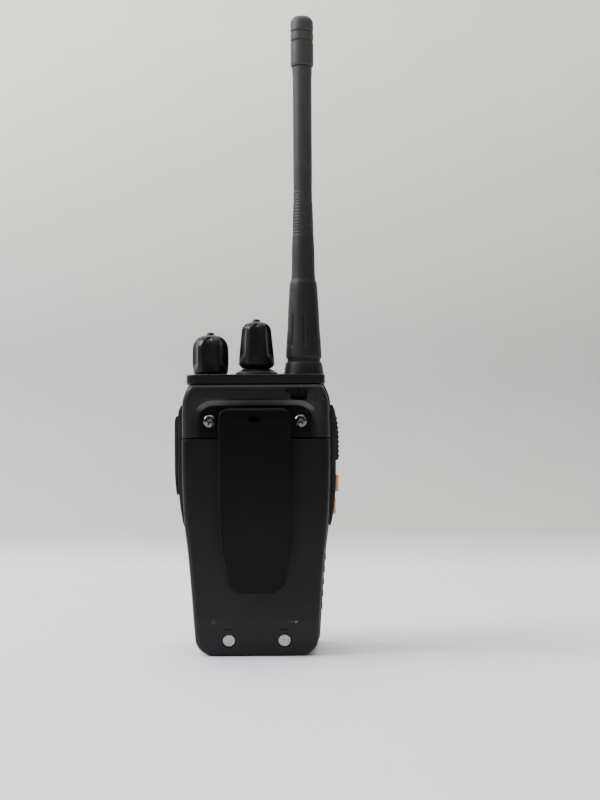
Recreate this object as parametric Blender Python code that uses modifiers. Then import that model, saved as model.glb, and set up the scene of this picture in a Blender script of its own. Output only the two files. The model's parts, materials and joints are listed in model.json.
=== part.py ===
"""Handheld two-way radio: slide-on battery, spring belt clip, two top knobs and a screw-on antenna.

The radio stands on its base. The origin is on the ground under the middle of its box. +Z is up, -Y out of
the speaker face, +Y out of the battery and belt clip, and -X out of the push-to-talk side.
Sizes are in millimetres, and the helpers turn them into metres.
"""

import math

import bmesh
import bpy
import numpy as np
from mathutils import Vector

MM = 0.001

# Body: half-widths at heights, then the layers from front to back
SIDE_HEIGHTS = (6.5, 22.0, 42.0, 54.0, 72.0, 107.0)
SIDE_WIDTHS = (26.2, 27.2, 28.8, 30.2, 31.0, 31.0)
BODY_TOP = 112.0
BASE_CORNER = 6.5
SHOULDER_CORNER = 4.0
WALL = 2.0
REAR_INSET = 0.8          # the battery and the chassis are this much narrower than the front case
FRONT_FACE = -20.5
CASE_RIM = -0.5
PLATE_FRONT, PLATE_BACK = -0.2, 1.8
LID_FRONT, LID_BACK = 2.1, 3.6
PACK_FRONT, PACK_BACK = 3.9, 12.5
HEAD_BACK = 12.2
HEAD_BOTTOM = 89.8
PACK_TOP = 89.2

# Controls on the top
PANEL = (112.3, 115.8)
CONTROL_Y = -6.5
VOLUME_X, CHANNEL_X, ANTENNA_X = 19.5, 0.0, -20.0
SHAFT_RADIUS = 2.9
BUSHING_RADIUS = 3.5
NUT_BORE = 3.8
SOCKET_RADIUS = 3.0
CONNECTOR_RADIUS = 4.5
COLLAR_TOP = 121.3
LENS = (-12.3, -14.7)     # flashlight lens, x and y
STATUS = (10.0, -15.2)    # status light, x and y
ANTENNA_TOP = 267.2

# Speaker and microphone
SPEAKER_Z = 52.0
MICROPHONE_X, MICROPHONE_Z = -11.0, 15.0

# Sides
SIDE_Y = -10.0            # middle of everything on the two sides
PTT_PIVOT_X, PTT_PIVOT_Z = -32.7, 99.0
PLUNGER_Z = 84.0
UPPER_KEY = (66.0, 73.0)
LOWER_KEY = (56.5, 63.5)
COVER_PIVOT_X, COVER_PIVOT_Z = 34.2, 98.4
LARGE_JACK_Z, SMALL_JACK_Z = 87.0, 78.0

# Belt clip
CLIP_PIVOT_Y, CLIP_PIVOT_Z = 15.2, 93.5
CLIP_LEVER_Z = (26.4, 101.8)
CLIP_OUTER = 20.5
CLIP_HALF_WIDTH = 14.6
CLIP_CORNER = 3.9
CLIP_THICKNESS = 2.2
RECESS_FLOOR = 10.2
CLIP_SCREW_X, CLIP_SCREW_Z = 18.6, 96.5

# Battery
FACET_TOP = 14.8          # below this height the back slopes in towards the base
FACET_DEPTH = 2.6
CONTACT_X, CONTACT_Z = 11.4, 6.6
RAIL_X = 23.0
TERMINAL_X = 4.5
TOOTH_Z = (4.3, 6.7)
CASE_SCREW_X, CASE_SCREW_Z = 17.5, 10.0


# ---------------------------------------------------------------- helpers

def clear_scene():
    for obj in list(bpy.data.objects):
        bpy.data.objects.remove(obj, do_unlink=True)


def new_collection(name):
    made = bpy.data.collections.new(name)
    bpy.context.scene.collection.children.link(made)
    return made


def material(name, colour, roughness, metallic=0.0):
    made = bpy.data.materials.new(name)
    made.use_nodes = True
    shader = made.node_tree.nodes["Principled BSDF"]
    shader.inputs["Base Color"].default_value = (*colour, 1.0)
    shader.inputs["Roughness"].default_value = roughness
    shader.inputs["Metallic"].default_value = metallic
    made.diffuse_color = (*colour, 1.0)
    return made


def add_object(name, mesh, finish=None):
    obj = bpy.data.objects.new(name, mesh)
    RADIO.objects.link(obj)
    if finish:
        mesh.materials.append(finish)
    return obj


def smooth(mesh):
    mesh.shade_smooth()
    mesh.set_sharp_from_angle(angle=math.radians(35))


def box(name, low, high, finish=None, rounding=0.0):
    """A block between two corners, with its origin at its centre."""
    low, high = Vector(low) * MM, Vector(high) * MM
    mesh = bpy.data.meshes.new(name)
    shape = bmesh.new()
    bmesh.ops.create_cube(shape, size=1.0)
    bmesh.ops.scale(shape, vec=high - low, verts=shape.verts)
    shape.to_mesh(mesh)
    shape.free()
    obj = add_object(name, mesh, finish)
    obj.location = (low + high) / 2
    if rounding:
        edges = obj.modifiers.new("rounded_edges", "BEVEL")
        edges.width = rounding * MM
        edges.segments = 1
    return obj


def rod(name, radius, start, end, finish=None, sides=20):
    """A cylinder between two points."""
    start, end = Vector(start) * MM, Vector(end) * MM
    mesh = bpy.data.meshes.new(name)
    shape = bmesh.new()
    bmesh.ops.create_cone(
        shape, cap_ends=True, segments=sides, radius1=radius * MM, radius2=radius * MM,
        depth=(end - start).length,
    )
    shape.to_mesh(mesh)
    shape.free()
    smooth(mesh)
    obj = add_object(name, mesh, finish)
    obj.location = (start + end) / 2
    obj.rotation_mode = "QUATERNION"
    obj.rotation_quaternion = (end - start).to_track_quat("Z", "Y")
    return obj


def turned(name, profile, at, finish=None, steps=24, along=(0, 0, 1), closed=False):
    """A profile of (radius, height) turned round an axis through a point. It runs down its outer side."""
    mesh = bpy.data.meshes.new(name)
    count = len(profile)
    edges = [(i, i + 1) for i in range(count - 1)]
    if closed:
        edges.append((count - 1, 0))
    mesh.from_pydata([(radius * MM, 0, height * MM) for radius, height in profile], edges, [])
    obj = add_object(name, mesh, finish)
    obj.location = Vector(at) * MM
    obj.rotation_mode = "QUATERNION"
    obj.rotation_quaternion = Vector(along).to_track_quat("Z", "Y")
    screw = obj.modifiers.new("turning", "SCREW")
    screw.steps = screw.render_steps = steps
    screw.use_merge_vertices = True
    screw.merge_threshold = 0.000005
    screw.use_smooth_shade = False
    return obj


PLANES = {
    "XY": ((0, 0, 0), 2),
    "XZ": ((math.pi / 2, 0, 0), 1),
    "YZ": ((math.pi / 2, 0, math.pi / 2), 0),
}


def slab(name, plane, outline, span, finish=None, hole=None):
    """A flat outline in a plane of the frame, with an optional hole, that fills a span of the third axis."""
    curve = bpy.data.curves.new(name, "CURVE")
    curve.dimensions = "2D"
    curve.fill_mode = "BOTH"
    curve.extrude = (span[1] - span[0]) / 2 * MM
    for loop in filter(None, (outline, hole)):
        spline = curve.splines.new("POLY")
        spline.points.add(len(loop) - 1)
        for point, (across, up) in zip(spline.points, loop):
            point.co = (across * MM, up * MM, 0, 1)
        spline.use_cyclic_u = True
    flat = bpy.data.objects.new(name + "_outline", curve)
    RADIO.objects.link(flat)
    flat.rotation_euler, thickness_axis = PLANES[plane]
    flat.location[thickness_axis] = sum(span) / 2 * MM
    return meshed(name, flat, finish)


def meshed(name, curve_object, finish):
    """Makes a mesh object from a curve object, with its caps welded on, and removes the curve."""
    bpy.context.view_layer.update()
    graph = bpy.context.evaluated_depsgraph_get()
    mesh = bpy.data.meshes.new_from_object(curve_object.evaluated_get(graph))
    mesh.transform(curve_object.matrix_world)
    mesh.materials.clear()
    shape = bmesh.new()
    shape.from_mesh(mesh)
    bmesh.ops.remove_doubles(shape, verts=shape.verts, dist=0.000002)
    bmesh.ops.recalc_face_normals(shape, faces=shape.faces)
    bmesh.ops.dissolve_limit(shape, angle_limit=0.002, verts=shape.verts, edges=shape.edges)
    shape.to_mesh(mesh)
    shape.free()
    bpy.data.objects.remove(curve_object)
    return add_object(name, mesh, finish)


def wire(name, points, radius, finish):
    """A round wire through points."""
    curve = bpy.data.curves.new(name, "CURVE")
    curve.dimensions = "3D"
    curve.bevel_depth = radius * MM
    curve.bevel_resolution = 1
    curve.use_fill_caps = True
    spline = curve.splines.new("POLY")
    spline.points.add(len(points) - 1)
    for point, place in zip(spline.points, points):
        point.co = (*(Vector(place) * MM), 1)
    curve.materials.append(finish)
    obj = bpy.data.objects.new(name, curve)
    RADIO.objects.link(obj)
    return obj


def combine(target, tool, operation):
    """Adds a Boolean modifier, and puts its tool away with the cutters."""
    RADIO.objects.unlink(tool)
    CUTTERS.objects.link(tool)
    tool.hide_render = True
    tool.display_type = "WIRE"
    modifier = target.modifiers.new(tool.name, "BOOLEAN")
    modifier.operation = operation
    modifier.object = tool


def cut(target, *tools):
    for tool in tools:
        combine(target, tool, "DIFFERENCE")


def fuse(target, *tools):
    for tool in tools:
        combine(target, tool, "UNION")


def pivot(name, at, *pieces):
    """An empty on a joint's axis that carries the pieces that move with it."""
    empty = bpy.data.objects.new(name, None)
    RADIO.objects.link(empty)
    empty.empty_display_size = 0.004
    empty.location = Vector(at) * MM
    bpy.context.view_layer.update()
    for piece in pieces:
        piece.parent = empty
        piece.matrix_parent_inverse = empty.matrix_world.inverted()


def arc(centre, radius, start, end, steps=4):
    """Points of a round stretch between two angles in degrees."""
    angles = np.radians(np.linspace(start, end, steps + 1))
    return [(centre[0] + radius * math.cos(a), centre[1] + radius * math.sin(a)) for a in angles]


def mirrored(right_half):
    """A closed outline from its right half, which runs from the bottom up."""
    return right_half + [(-x, z) for x, z in reversed(right_half)]


def half_width(z):
    return float(np.interp(z, SIDE_HEIGHTS, SIDE_WIDTHS))


def body_outline(inset=0.0, floor=0.0, top=BODY_TOP, corner=BASE_CORNER, shoulder=SHOULDER_CORNER):
    """The body from the front between two heights, with its sides drawn in by inset."""
    half = arc((half_width(floor + corner) - inset - corner, floor + corner), corner, -90, 0)
    half += [(half_width(z) - inset, z) for z in SIDE_HEIGHTS[1:] if floor + corner < z < top - shoulder]
    if shoulder:
        half += arc((half_width(top) - inset - shoulder, top - shoulder), shoulder, 0, 90)
    else:
        half.append((half_width(top) - inset, top))
    return mirrored(half)


def round_edges_at(obj, y, width):
    """Rounds the edges that lie in one plane y."""
    weights = obj.data.attributes.new("bevel_weight_edge", "FLOAT", "EDGE")
    corners = obj.data.vertices
    for edge in obj.data.edges:
        on_plane = all(abs(corners[i].co.y / MM - y) < 0.01 for i in edge.vertices)
        weights.data[edge.index].value = 1.0 if on_plane else 0.0
    modifier = obj.modifiers.new("rounded_rim", "BEVEL")
    modifier.limit_method = "WEIGHT"
    modifier.width = width * MM
    modifier.segments = 3


def helix(centre, axis, radius, start, end, turns, steps=8):
    """Points of a coil that starts and ends at two places along an axis of the frame."""
    points = []
    for i in range(turns * steps + 1):
        angle = 2 * math.pi * i / steps
        place = [c + radius * f(angle) for c, f in zip(centre, (math.cos, math.sin))]
        place.insert(axis, start + (end - start) * i / (turns * steps))
        points.append(tuple(place))
    return points


def strip(centre_line, thickness):
    """The outline of a bent strip, from the line along its middle."""
    line = [Vector(point) for point in centre_line]
    left, right = [], []
    for i, point in enumerate(line):
        before = (point - line[i - 1]).normalized() if i else Vector((0, 0))
        after = (line[i + 1] - point).normalized() if i < len(line) - 1 else Vector((0, 0))
        along = (before + after).normalized()
        across = Vector((-along.y, along.x)) * thickness / 2
        left.append(tuple(point + across))
        right.append(tuple(point - across))
    return left + right[::-1]


# ---------------------------------------------------------------- casings

def speaker_slots():
    """Seven slots that follow a circle."""
    radius, pitch, height = 15.0, 3.9, 1.5
    for i in range(-3, 4):
        half = math.sqrt(radius ** 2 - (i * pitch) ** 2)
        z = SPEAKER_Z + i * pitch
        yield box(f"speaker_slot_{i}", (-half, -22, z - height / 2), (half, -17, z + height / 2))


def top_holes(prefix, low, high, control, socket):
    """Cutters for what passes through the top of the case or the panel on it."""
    for x, radius in ((VOLUME_X, control), (CHANNEL_X, control), (ANTENNA_X, socket)):
        yield rod(f"{prefix}_{x}", radius, (x, CONTROL_Y, low), (x, CONTROL_Y, high), sides=16)
    yield rod(prefix + "_lens", 2.3, (*LENS, low), (*LENS, high), sides=12)
    yield rod(prefix + "_status", 1.4, (*STATUS, low), (*STATUS, high), sides=10)


def front_case():
    case = slab("front_case", "XZ", body_outline(), (FRONT_FACE, CASE_RIM), BLACK_PLASTIC)
    round_edges_at(case, FRONT_FACE, 3.5)
    inside = body_outline(WALL, WALL, BODY_TOP - WALL, 4.5, 2.5)
    cut(case, slab("case_cavity", "XZ", inside, (FRONT_FACE + WALL, 5)))
    for x in (-CASE_SCREW_X, CASE_SCREW_X):
        fuse(case, rod(f"boss_{x}", 2.9, (x, -19.5, CASE_SCREW_Z), (x, -0.8, CASE_SCREW_Z), sides=12))
        cut(case, rod(f"pilot_{x}", 1.4, (x, -9, CASE_SCREW_Z), (x, 5, CASE_SCREW_Z), sides=10))
    fuse(case, box("spring_seat", (-3, -15.4, 1.5), (3, -13.9, 7)))
    cut(case, box("latch_slot", (-7.4, -11.6, -1), (7.4, -1.8, 2.5)))
    cut(case, *speaker_slots())
    cut(case, rod("sound_hole", 0.8, (MICROPHONE_X, -22, MICROPHONE_Z), (MICROPHONE_X, -17, MICROPHONE_Z)))
    cut(case, *top_holes("wall_hole", 108, 114, BUSHING_RADIUS + 0.4, SOCKET_RADIUS + 0.3))
    cut(case, rod("plunger_hole", 1.9, (-34, SIDE_Y, PLUNGER_Z), (-26, SIDE_Y, PLUNGER_Z), sides=12))
    for low, high in (UPPER_KEY, LOWER_KEY):
        z = (low + high) / 2
        cut(case, rod(f"key_hole_{z}", 1.9, (-34, SIDE_Y, z), (-26, SIDE_Y, z), sides=12))
    cut(case, box("jack_window", (28, SIDE_Y - 3.8, 72.5), (33, SIDE_Y + 3.7, 91.5)))
    return case


def rear_chassis():
    """The die-cast plate that closes the case, with the thick head that carries the belt clip."""
    outline = body_outline(REAR_INSET, 0.7, 111.4)
    plate = slab("rear_chassis", "XZ", outline, (PLATE_FRONT, HEAD_BACK), CAST_BLACK)
    round_edges_at(plate, HEAD_BACK, 3.0)
    recess = mirrored([(24, 80), *arc((18, 97), 6, 0, 90)])
    cut(
        plate,
        box("battery_bay", (-40, PLATE_BACK, -5), (40, 30, HEAD_BOTTOM)),
        slab("clip_recess", "XZ", recess, (RECESS_FLOOR, 30)),
        box("head_hollow", (-12, -2, 95), (15, 8, 108.5)),
        box("tongue_slot", (-12.5, 4.8, 85), (12.5, 8.6, 92.8)),
        box("strap_pocket", (-21.2, 6.7, 105), (-14.5, 30, 109.9)),
        box("strap_mouth", (-22.1, 10.9, 108.4), (-12.3, 30, 109.9)),
        box("latch_window", (-4.2, -3, 3.7), (4.2, 5, 7.3)),
        box("terminal_window", (-8.3, -3, 79.7), (8.3, 5, 88.3)),
    )
    for side in (-1, 1):
        groove = sorted((side * (RAIL_X - 1.5), side * (RAIL_X + 1.5)))
        screw, clip = side * CASE_SCREW_X, side * CLIP_SCREW_X
        cut(
            plate,
            box(f"rail_groove_{side}", (groove[0], 0.6, 7.4), (groove[1], 5, 80.6)),
            rod(f"case_hole_{side}", 1.5, (screw, -3, CASE_SCREW_Z), (screw, 5, CASE_SCREW_Z), sides=10),
            rod(f"counterbore_{side}", 2.9, (screw, 0.5, CASE_SCREW_Z), (screw, 5, CASE_SCREW_Z), sides=16),
            rod(f"clip_hole_{side}", 1.5, (clip, 3, CLIP_SCREW_Z), (clip, 15, CLIP_SCREW_Z), sides=10),
        )
    fuse(plate, rod("strap_post", 0.9, (-17.8, 9.6, 104.5), (-17.8, 9.6, 110.4), sides=10))
    return plate


def case_seal():
    inner = body_outline(3.5, 3.5, 108.5, 3.6, 1.4)
    outer = body_outline(2.3, 2.3, 109.7, 4.4, 2.2)
    return slab("case_seal", "XZ", outer, (-1.6, CASE_RIM), RUBBER, hole=inner)


def top_panel():
    """The platform under the two knobs, with the collar that the antenna stands in."""
    ends = [*arc((22.7, -12.2), 6.0, -90, 0, 3), *arc((22.7, 3.0), 6.0, 0, 90, 3),
            *arc((-22.7, 3.0), 6.0, 90, 180, 3), *arc((-22.7, -12.2), 6.0, 180, 270, 3)]
    panel = slab("top_panel", "XY", ends, PANEL, GLOSS_BLACK)
    collar = [(0, COLLAR_TOP), (7.2, COLLAR_TOP), (7.8, 120.7), (8.4, 117), (8.5, PANEL[0]), (0, PANEL[0])]
    fuse(panel, turned("collar", collar, (ANTENNA_X, CONTROL_Y, 0), steps=24))
    cut(panel, *top_holes("panel_hole", 110, 125, 5.9, CONNECTOR_RADIUS + 0.5))
    return panel


def channel_dial_ring():
    profile = [(4.0, 118.0), (6.0, 118.0), (8.7, 116.7), (9.0, 116.1), (4.0, 116.1)]
    return turned("channel_dial_ring", profile, (CHANNEL_X, CONTROL_Y, 0), BLACK_PLASTIC, closed=True)


def side_bezel(name, side):
    """The raised trim panel on one side of the case."""
    inner = [(half_width(z) + 0.3, z) for z in (103, 72, 54, 52)]
    outer = [(30.9, 52), (32.0, 57), (33.3, 70), (33.3, 98.5), (32.4, 102.2), (31.9, 103)]
    outline = [(side * x, z) for x, z in inner + outer]
    return slab(name, "XZ", outline, (SIDE_Y - 7, SIDE_Y + 7), BLACK_PLASTIC)


def ptt_bezel():
    bezel = side_bezel("ptt_bezel", -1)
    cut(bezel, box("ptt_opening", (-36, SIDE_Y - 5.5, 79.1), (-30, SIDE_Y + 5.5, 100.1)))
    for low, high in (UPPER_KEY, LOWER_KEY):
        opening = box(f"key_opening_{low}", (-36, SIDE_Y - 3.9, low - 0.4), (-29, SIDE_Y + 3.9, high + 0.4))
        cut(bezel, opening)
    return bezel


def jack_bezel():
    bezel = side_bezel("jack_bezel", 1)
    cut(bezel, box("jack_opening", (30, SIDE_Y - 4.2, 71), (36, SIDE_Y + 4.2, 93)))
    return bezel


# ---------------------------------------------------------------- inside the case

def speaker():
    at, front = (0, -17.5, SPEAKER_Z), (0, -1, 0)
    rod("speaker_felt", 17.5, (0, -18.2, SPEAKER_Z), (0, -17.8, SPEAKER_Z), FELT)
    basket = [(0, -5.3), (6, -5.3), (14.6, -1.4), (15.4, 0), (17.6, 0), (17.6, -1), (15.8, -1.4), (8, -6.3),
              (0, -6.3)]
    turned("speaker_basket", basket, at, STEEL, 20, front)
    cone = [(0, -2.6), (3.5, -3.0), (5.0, -3.4), (13.2, -0.7), (14.2, -0.5), (14.2, -0.9), (5.0, -4.2),
            (0, -4.3)]
    pivot("cone_axis", at, turned("speaker_cone", cone, at, PAPER, 20, front))
    rod("speaker_magnet", 9.5, (0, -10.9, SPEAKER_Z), (0, -8.2, SPEAKER_Z), STEEL)


def microphone():
    at, front = (MICROPHONE_X, 0, MICROPHONE_Z), (0, -1, 0)
    rod("microphone_capsule", 2.4, (at[0], -17.9, at[2]), (at[0], -15.8, at[2]), STEEL, 16)
    boot = [(2.7, 18.2), (3.8, 18.2), (3.8, 15.4), (2.7, 15.4)]
    turned("microphone_boot", boot, at, RUBBER, 16, front, closed=True)


def boards():
    box("main_board", (-23.4, -6.5, 15), (23.4, -5.3, 97.6), CIRCUIT)
    box("side_key_board", (-26.3, -14, 54), (-25.5, -6.8, 92), CIRCUIT)
    shield = box("rf_shield", (-17, -5.0, 22), (17, -1.6, 74), STEEL)
    cut(shield, box("shield_inside", (-16.4, -7, 22.6), (16.4, -2.2, 73.4)))


def control(name, x, half, shaft_name, shaft_top):
    """A rotary control: its body and bushing stay, and its flatted shaft turns."""
    body = box(name, (x - half, -11.9, 98.4), (x + half, -2.3, 109.4), STEEL)
    fuse(body, rod(name + "_bushing", BUSHING_RADIUS, (x, CONTROL_Y, 109), (x, CONTROL_Y, 115.3), sides=16))
    cut(body, rod(name + "_bore", 3.2, (x, CONTROL_Y, 107.8), (x, CONTROL_Y, 118), sides=16))
    shaft = rod(shaft_name, SHAFT_RADIUS, (x, CONTROL_Y, 108.2), (x, CONTROL_Y, shaft_top), STEEL, 16)
    cut(shaft, box(shaft_name + "_flat", (x - 4, CONTROL_Y + 1.9, 118.5), (x + 4, 0, 140)))
    return shaft


def nut(name, x):
    hexagon = arc((x, CONTROL_Y), 5.4, 0, 300, 5)
    made = slab(name, "XY", hexagon, (PANEL[0], 114.7), STEEL)
    cut(made, rod(name + "_bore", NUT_BORE, (x, CONTROL_Y, 110), (x, CONTROL_Y, 117), sides=16))


def knob(name, x, profile, flute_radius, flute_centre, flute_span):
    """A fluted knob with a blind bore for its shaft."""
    made = turned(name, profile, (x, CONTROL_Y, 0), GLOSS_BLACK, 24)
    low, high = flute_span
    for i in range(6):
        angle = math.radians(60 * i + 30)
        place = (x + flute_centre * math.cos(angle), CONTROL_Y + flute_centre * math.sin(angle))
        cut(made, rod(f"{name}_flute_{i}", flute_radius, (*place, low), (*place, high), sides=10))
    return made


def volume_control():
    shaft = control("volume_pot", VOLUME_X, 5.3, "volume_shaft", 127.9)
    nut("volume_nut", VOLUME_X)
    profile = [(0, 133.9), (1.2, 133.6), (1.7, 132.8), (4.2, 132.0), (6.0, 130.8), (7.1, 129.0),
               (7.4, 127.6), (7.2, 118.5), (6.7, 116.2), (3.2, 116.2), (3.2, 128.3), (0, 128.3)]
    made = knob("volume_knob", VOLUME_X, profile, 2.0, 8.6, (119, 130.2))
    pivot("volume_axis", (VOLUME_X, CONTROL_Y, 116), made, shaft)


def channel_control():
    shaft = control("channel_switch", CHANNEL_X, 5.8, "channel_shaft", 132.6)
    nut("channel_nut", CHANNEL_X)
    profile = [(0, 139.4), (1.2, 139.1), (1.7, 138.4), (4.2, 137.7), (5.4, 136.6), (5.7, 135.6),
               (7.1, 122.4), (7.4, 120.8), (7.0, 119.8), (5.9, 118.4), (3.2, 118.4), (3.2, 133.0),
               (0, 133.0)]
    made = knob("channel_knob", CHANNEL_X, profile, 1.8, 7.9, (123, 134.6))
    pivot("channel_axis", (CHANNEL_X, CONTROL_Y, 118), made, shaft)


def lights():
    lens = [(0, 118.7), (1.2, 118.4), (2.1, 117.5), (2.4, 116.5), (2.4, 116.1), (2.0, 116.1), (2.0, 109),
            (0, 109)]
    turned("flashlight_lens", lens, (*LENS, 0), CLEAR, 16)
    rod("status_light_pipe", 1.1, (*STATUS, 108), (*STATUS, 116.3), CLEAR, 12)


# ---------------------------------------------------------------- antenna

def antenna():
    at = (ANTENNA_X, CONTROL_Y, 0)
    flange = 4.6
    socket = [(0, 114.6), (1.2, 114.6), (1.2, 120), (SOCKET_RADIUS, 120), (SOCKET_RADIUS, 113.5),
              (flange, 113.5), (flange, PANEL[0]), (SOCKET_RADIUS, PANEL[0]), (SOCKET_RADIUS, 109.8),
              (2.4, 109.8), (2.4, 104.5), (0, 104.5)]
    turned("antenna_socket", socket, at, BRASS, 16)
    gasket = [(4.9, 122.2), (7.2, 122.2), (7.2, 121.6), (4.9, 121.6)]
    seal = turned("antenna_gasket", gasket, at, RUBBER, 20, closed=True)
    connector = [(0, 129), (1.5, 129), (1.5, 126), (CONNECTOR_RADIUS, 126), (CONNECTOR_RADIUS, 114),
                 (3.3, 114), (3.3, 121), (0.9, 121), (0.9, 115.2), (0, 115.2)]
    fitting = turned("antenna_connector", connector, at, BRASS, 16)
    outside = [(4.0, 193.6), (4.45, 181), (4.5, 175), (4.85, 168), (4.85, 161), (5.15, 155.9), (5.8, 154.2),
               (6.1, 149.3), (6.5, 143), (6.75, 136.7), (7.2, 130.3), (7.6, 123.2), (7.4, 122.5)]
    spigot = [(0, 262), (3.0, 262), (3.3, 261.6), (3.3, 246.0), (4.2, 246.0), (4.2, 243.6), (4.0, 241)]
    inside = [(4.8, 122.5), (4.8, 126.6), (3.0, 130), (3.0, 166), (1.0, 170), (1.0, 240), (0, 241)]
    skin = turned("antenna_sheath", spigot + outside + inside, at, RUBBER, 20)
    cap = [(0, ANTENNA_TOP), (3.4, ANTENNA_TOP), (4.4, 266), (4.85, 264.6), (4.85, 247.2), (4.5, 246.3),
           (3.6, 246.3), (3.6, 262.3), (0, 262.3)]
    tip = turned("antenna_cap", cap, at, RUBBER, 20)
    coil = helix((ANTENNA_X, CONTROL_Y), 2, 2.2, 132, 162, 8)
    whip = wire("antenna_coil", [*coil, (*at[:2], 166), (*at[:2], 236)], 0.4, COPPER)
    pivot("antenna_axis", (ANTENNA_X, CONTROL_Y, 122), seal, fitting, skin, tip, whip)


# ---------------------------------------------------------------- side controls

def push_to_talk():
    """The talk button, and the plunger behind it that reaches its switch through the wall."""
    back = -32.5
    face = [(back, 79.5), (-34.2, 79.5), (-34.8, 80.3), (-34.8, 90), (-34.3, 95), (-33.5, 99.1),
            (-33.0, 99.6), (back, 99.6)]
    button = slab("ptt_button", "XZ", face, (SIDE_Y - 5.2, SIDE_Y + 5.2), RUBBER)
    for i in range(8):
        z = 81.3 + 2.0 * i
        cut(button, box(f"ptt_groove_{i}", (-36, SIDE_Y - 4, z - 0.4), (-34.3, SIDE_Y + 4, z + 0.4)))
    profile = [(0, -27.7), (1.4, -27.7), (1.4, -28.1), (2.3, -28.1), (2.3, -28.7), (1.4, -28.7), (1.4, back),
               (0, back)]
    plunger = turned("ptt_plunger", profile, (0, SIDE_Y, PLUNGER_Z), BLACK_PLASTIC, 12, (1, 0, 0))
    pivot("ptt_axis", (PTT_PIVOT_X, SIDE_Y, PTT_PIVOT_Z), button, plunger)


def side_key(name, span, outer, inner):
    """An orange key cap with the stem that presses its switch through the wall."""
    z = sum(span) / 2
    key = box(name, (-outer, SIDE_Y - 3.5, span[0]), (-inner, SIDE_Y + 3.5, span[1]), ORANGE, 0.5)
    fuse(key, rod(name + "_stem", 1.5, (-inner - 0.5, SIDE_Y, z), (-27.6, SIDE_Y, z), sides=12))
    pivot(name + "_axis", (-30, SIDE_Y, z), key)


def jack_block():
    block = box("jack_block", (22, SIDE_Y - 3.4, 73), (30.7, SIDE_Y + 3.2, 91), BLACK_PLASTIC)
    for name, radius, z in (("large_jack", 2.3, LARGE_JACK_Z), ("small_jack", 1.9, SMALL_JACK_Z)):
        cut(block, rod(name, radius, (26.5, SIDE_Y, z), (33, SIDE_Y, z), sides=14))


def jack_cover():
    flap = [(33.6, 65), (34.3, 64.9), (34.8, 65.6), (34.8, 97.9), (34.5, 98.5), (34.0, 98.6), (33.6, 98.2)]
    cover = slab("jack_cover", "XZ", flap, (SIDE_Y - 5.6, SIDE_Y + 5.6), RUBBER)
    fuse(
        cover,
        rod("large_plug", 1.6, (29.4, SIDE_Y, LARGE_JACK_Z), (34.2, SIDE_Y, LARGE_JACK_Z), sides=12),
        rod("small_plug", 1.2, (29.4, SIDE_Y, SMALL_JACK_Z), (34.2, SIDE_Y, SMALL_JACK_Z), sides=12),
    )
    pivot("cover_axis", (COVER_PIVOT_X, SIDE_Y, COVER_PIVOT_Z), cover)


# ---------------------------------------------------------------- belt clip

def pin_bore(name):
    return rod(name, 1.3, (-15, CLIP_PIVOT_Y, CLIP_PIVOT_Z), (15, CLIP_PIVOT_Y, CLIP_PIVOT_Z), sides=12)


def clip_base():
    plate = mirrored([(22.8, 90.2), *arc((17.8, 97.2), 5, 0, 90)])
    base = slab("clip_base", "XZ", plate, (10.5, 12.0), SATIN_BLACK)
    for side in (-1, 1):
        lug = sorted((side * 8.4, side * 10.8))
        fuse(base, box(f"lug_{side}", (lug[0], 11.5, 91.3), (lug[1], 17.2, 95.7)))
        x = side * CLIP_SCREW_X
        cut(base, rod(f"base_hole_{side}", 1.6, (x, 8, CLIP_SCREW_Z), (x, 15, CLIP_SCREW_Z), sides=12))
    cut(base, pin_bore("lug_bore"))


def clip_lever():
    """The tongue: its side profile, trimmed to its outline from the back, with two ears for the pin."""
    low, high = CLIP_LEVER_Z
    back = [(CLIP_OUTER - 1.2, high), (CLIP_OUTER - 0.3, high - 2.3), (CLIP_OUTER, 97), (CLIP_OUTER, 90),
            (19.8, 60), (18.3, 45), (16.5, 36), (15.5, 30), (15.3, low)]
    front = [(y - CLIP_THICKNESS, z) for y, z in reversed(back)]
    lever = slab("clip_lever", "YZ", back + front, (-16, 16), SATIN_BLACK)
    tip, neck = 6.0, 11.3
    half = [(tip, low), (9.5, low + 1.4), (neck, low + 3.8), (neck, 35), (14.3, 46), (CLIP_HALF_WIDTH, 60)]
    half += arc((CLIP_HALF_WIDTH - CLIP_CORNER, high - CLIP_CORNER), CLIP_CORNER, 0, 90)
    trim = slab("lever_outline", "XZ", mirrored(half), (5, 30))
    combine(lever, trim, "INTERSECT")
    for side in (-1, 1):
        ear = sorted((side * 11.3, side * 13.3))
        fuse(lever, box(f"ear_{side}", (ear[0], 13.6, 91.3), (ear[1], 19, 95.7)))
    cut(
        lever,
        pin_bore("ear_bore"),
        slab("lever_hole", "XZ", arc((1.2, 97.4), 1.2, -90, 90) + arc((-1.2, 97.4), 1.2, 90, 270), (10, 30)),
    )
    coil = helix((CLIP_PIVOT_Y, CLIP_PIVOT_Z), 0, 1.8, -7.6, 7.6, 6)
    spring = wire("clip_spring", coil, 0.35, STEEL)
    pivot("clip_axis", (0, CLIP_PIVOT_Y, CLIP_PIVOT_Z), lever, spring)
    rod("clip_pin", 1.0, (-13.8, CLIP_PIVOT_Y, CLIP_PIVOT_Z), (13.8, CLIP_PIVOT_Y, CLIP_PIVOT_Z), STEEL, 12)


# ---------------------------------------------------------------- battery

def facet_wedge(name, depth):
    """What the sloping lower back takes away, moved in by a depth."""
    back = PACK_BACK - depth
    slope = [(back, FACET_TOP), (back - FACET_DEPTH * 1.35, FACET_TOP * -0.35), (40, -5.2), (40, FACET_TOP)]
    return slab(name, "YZ", slope, (-40, 40))


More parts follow.
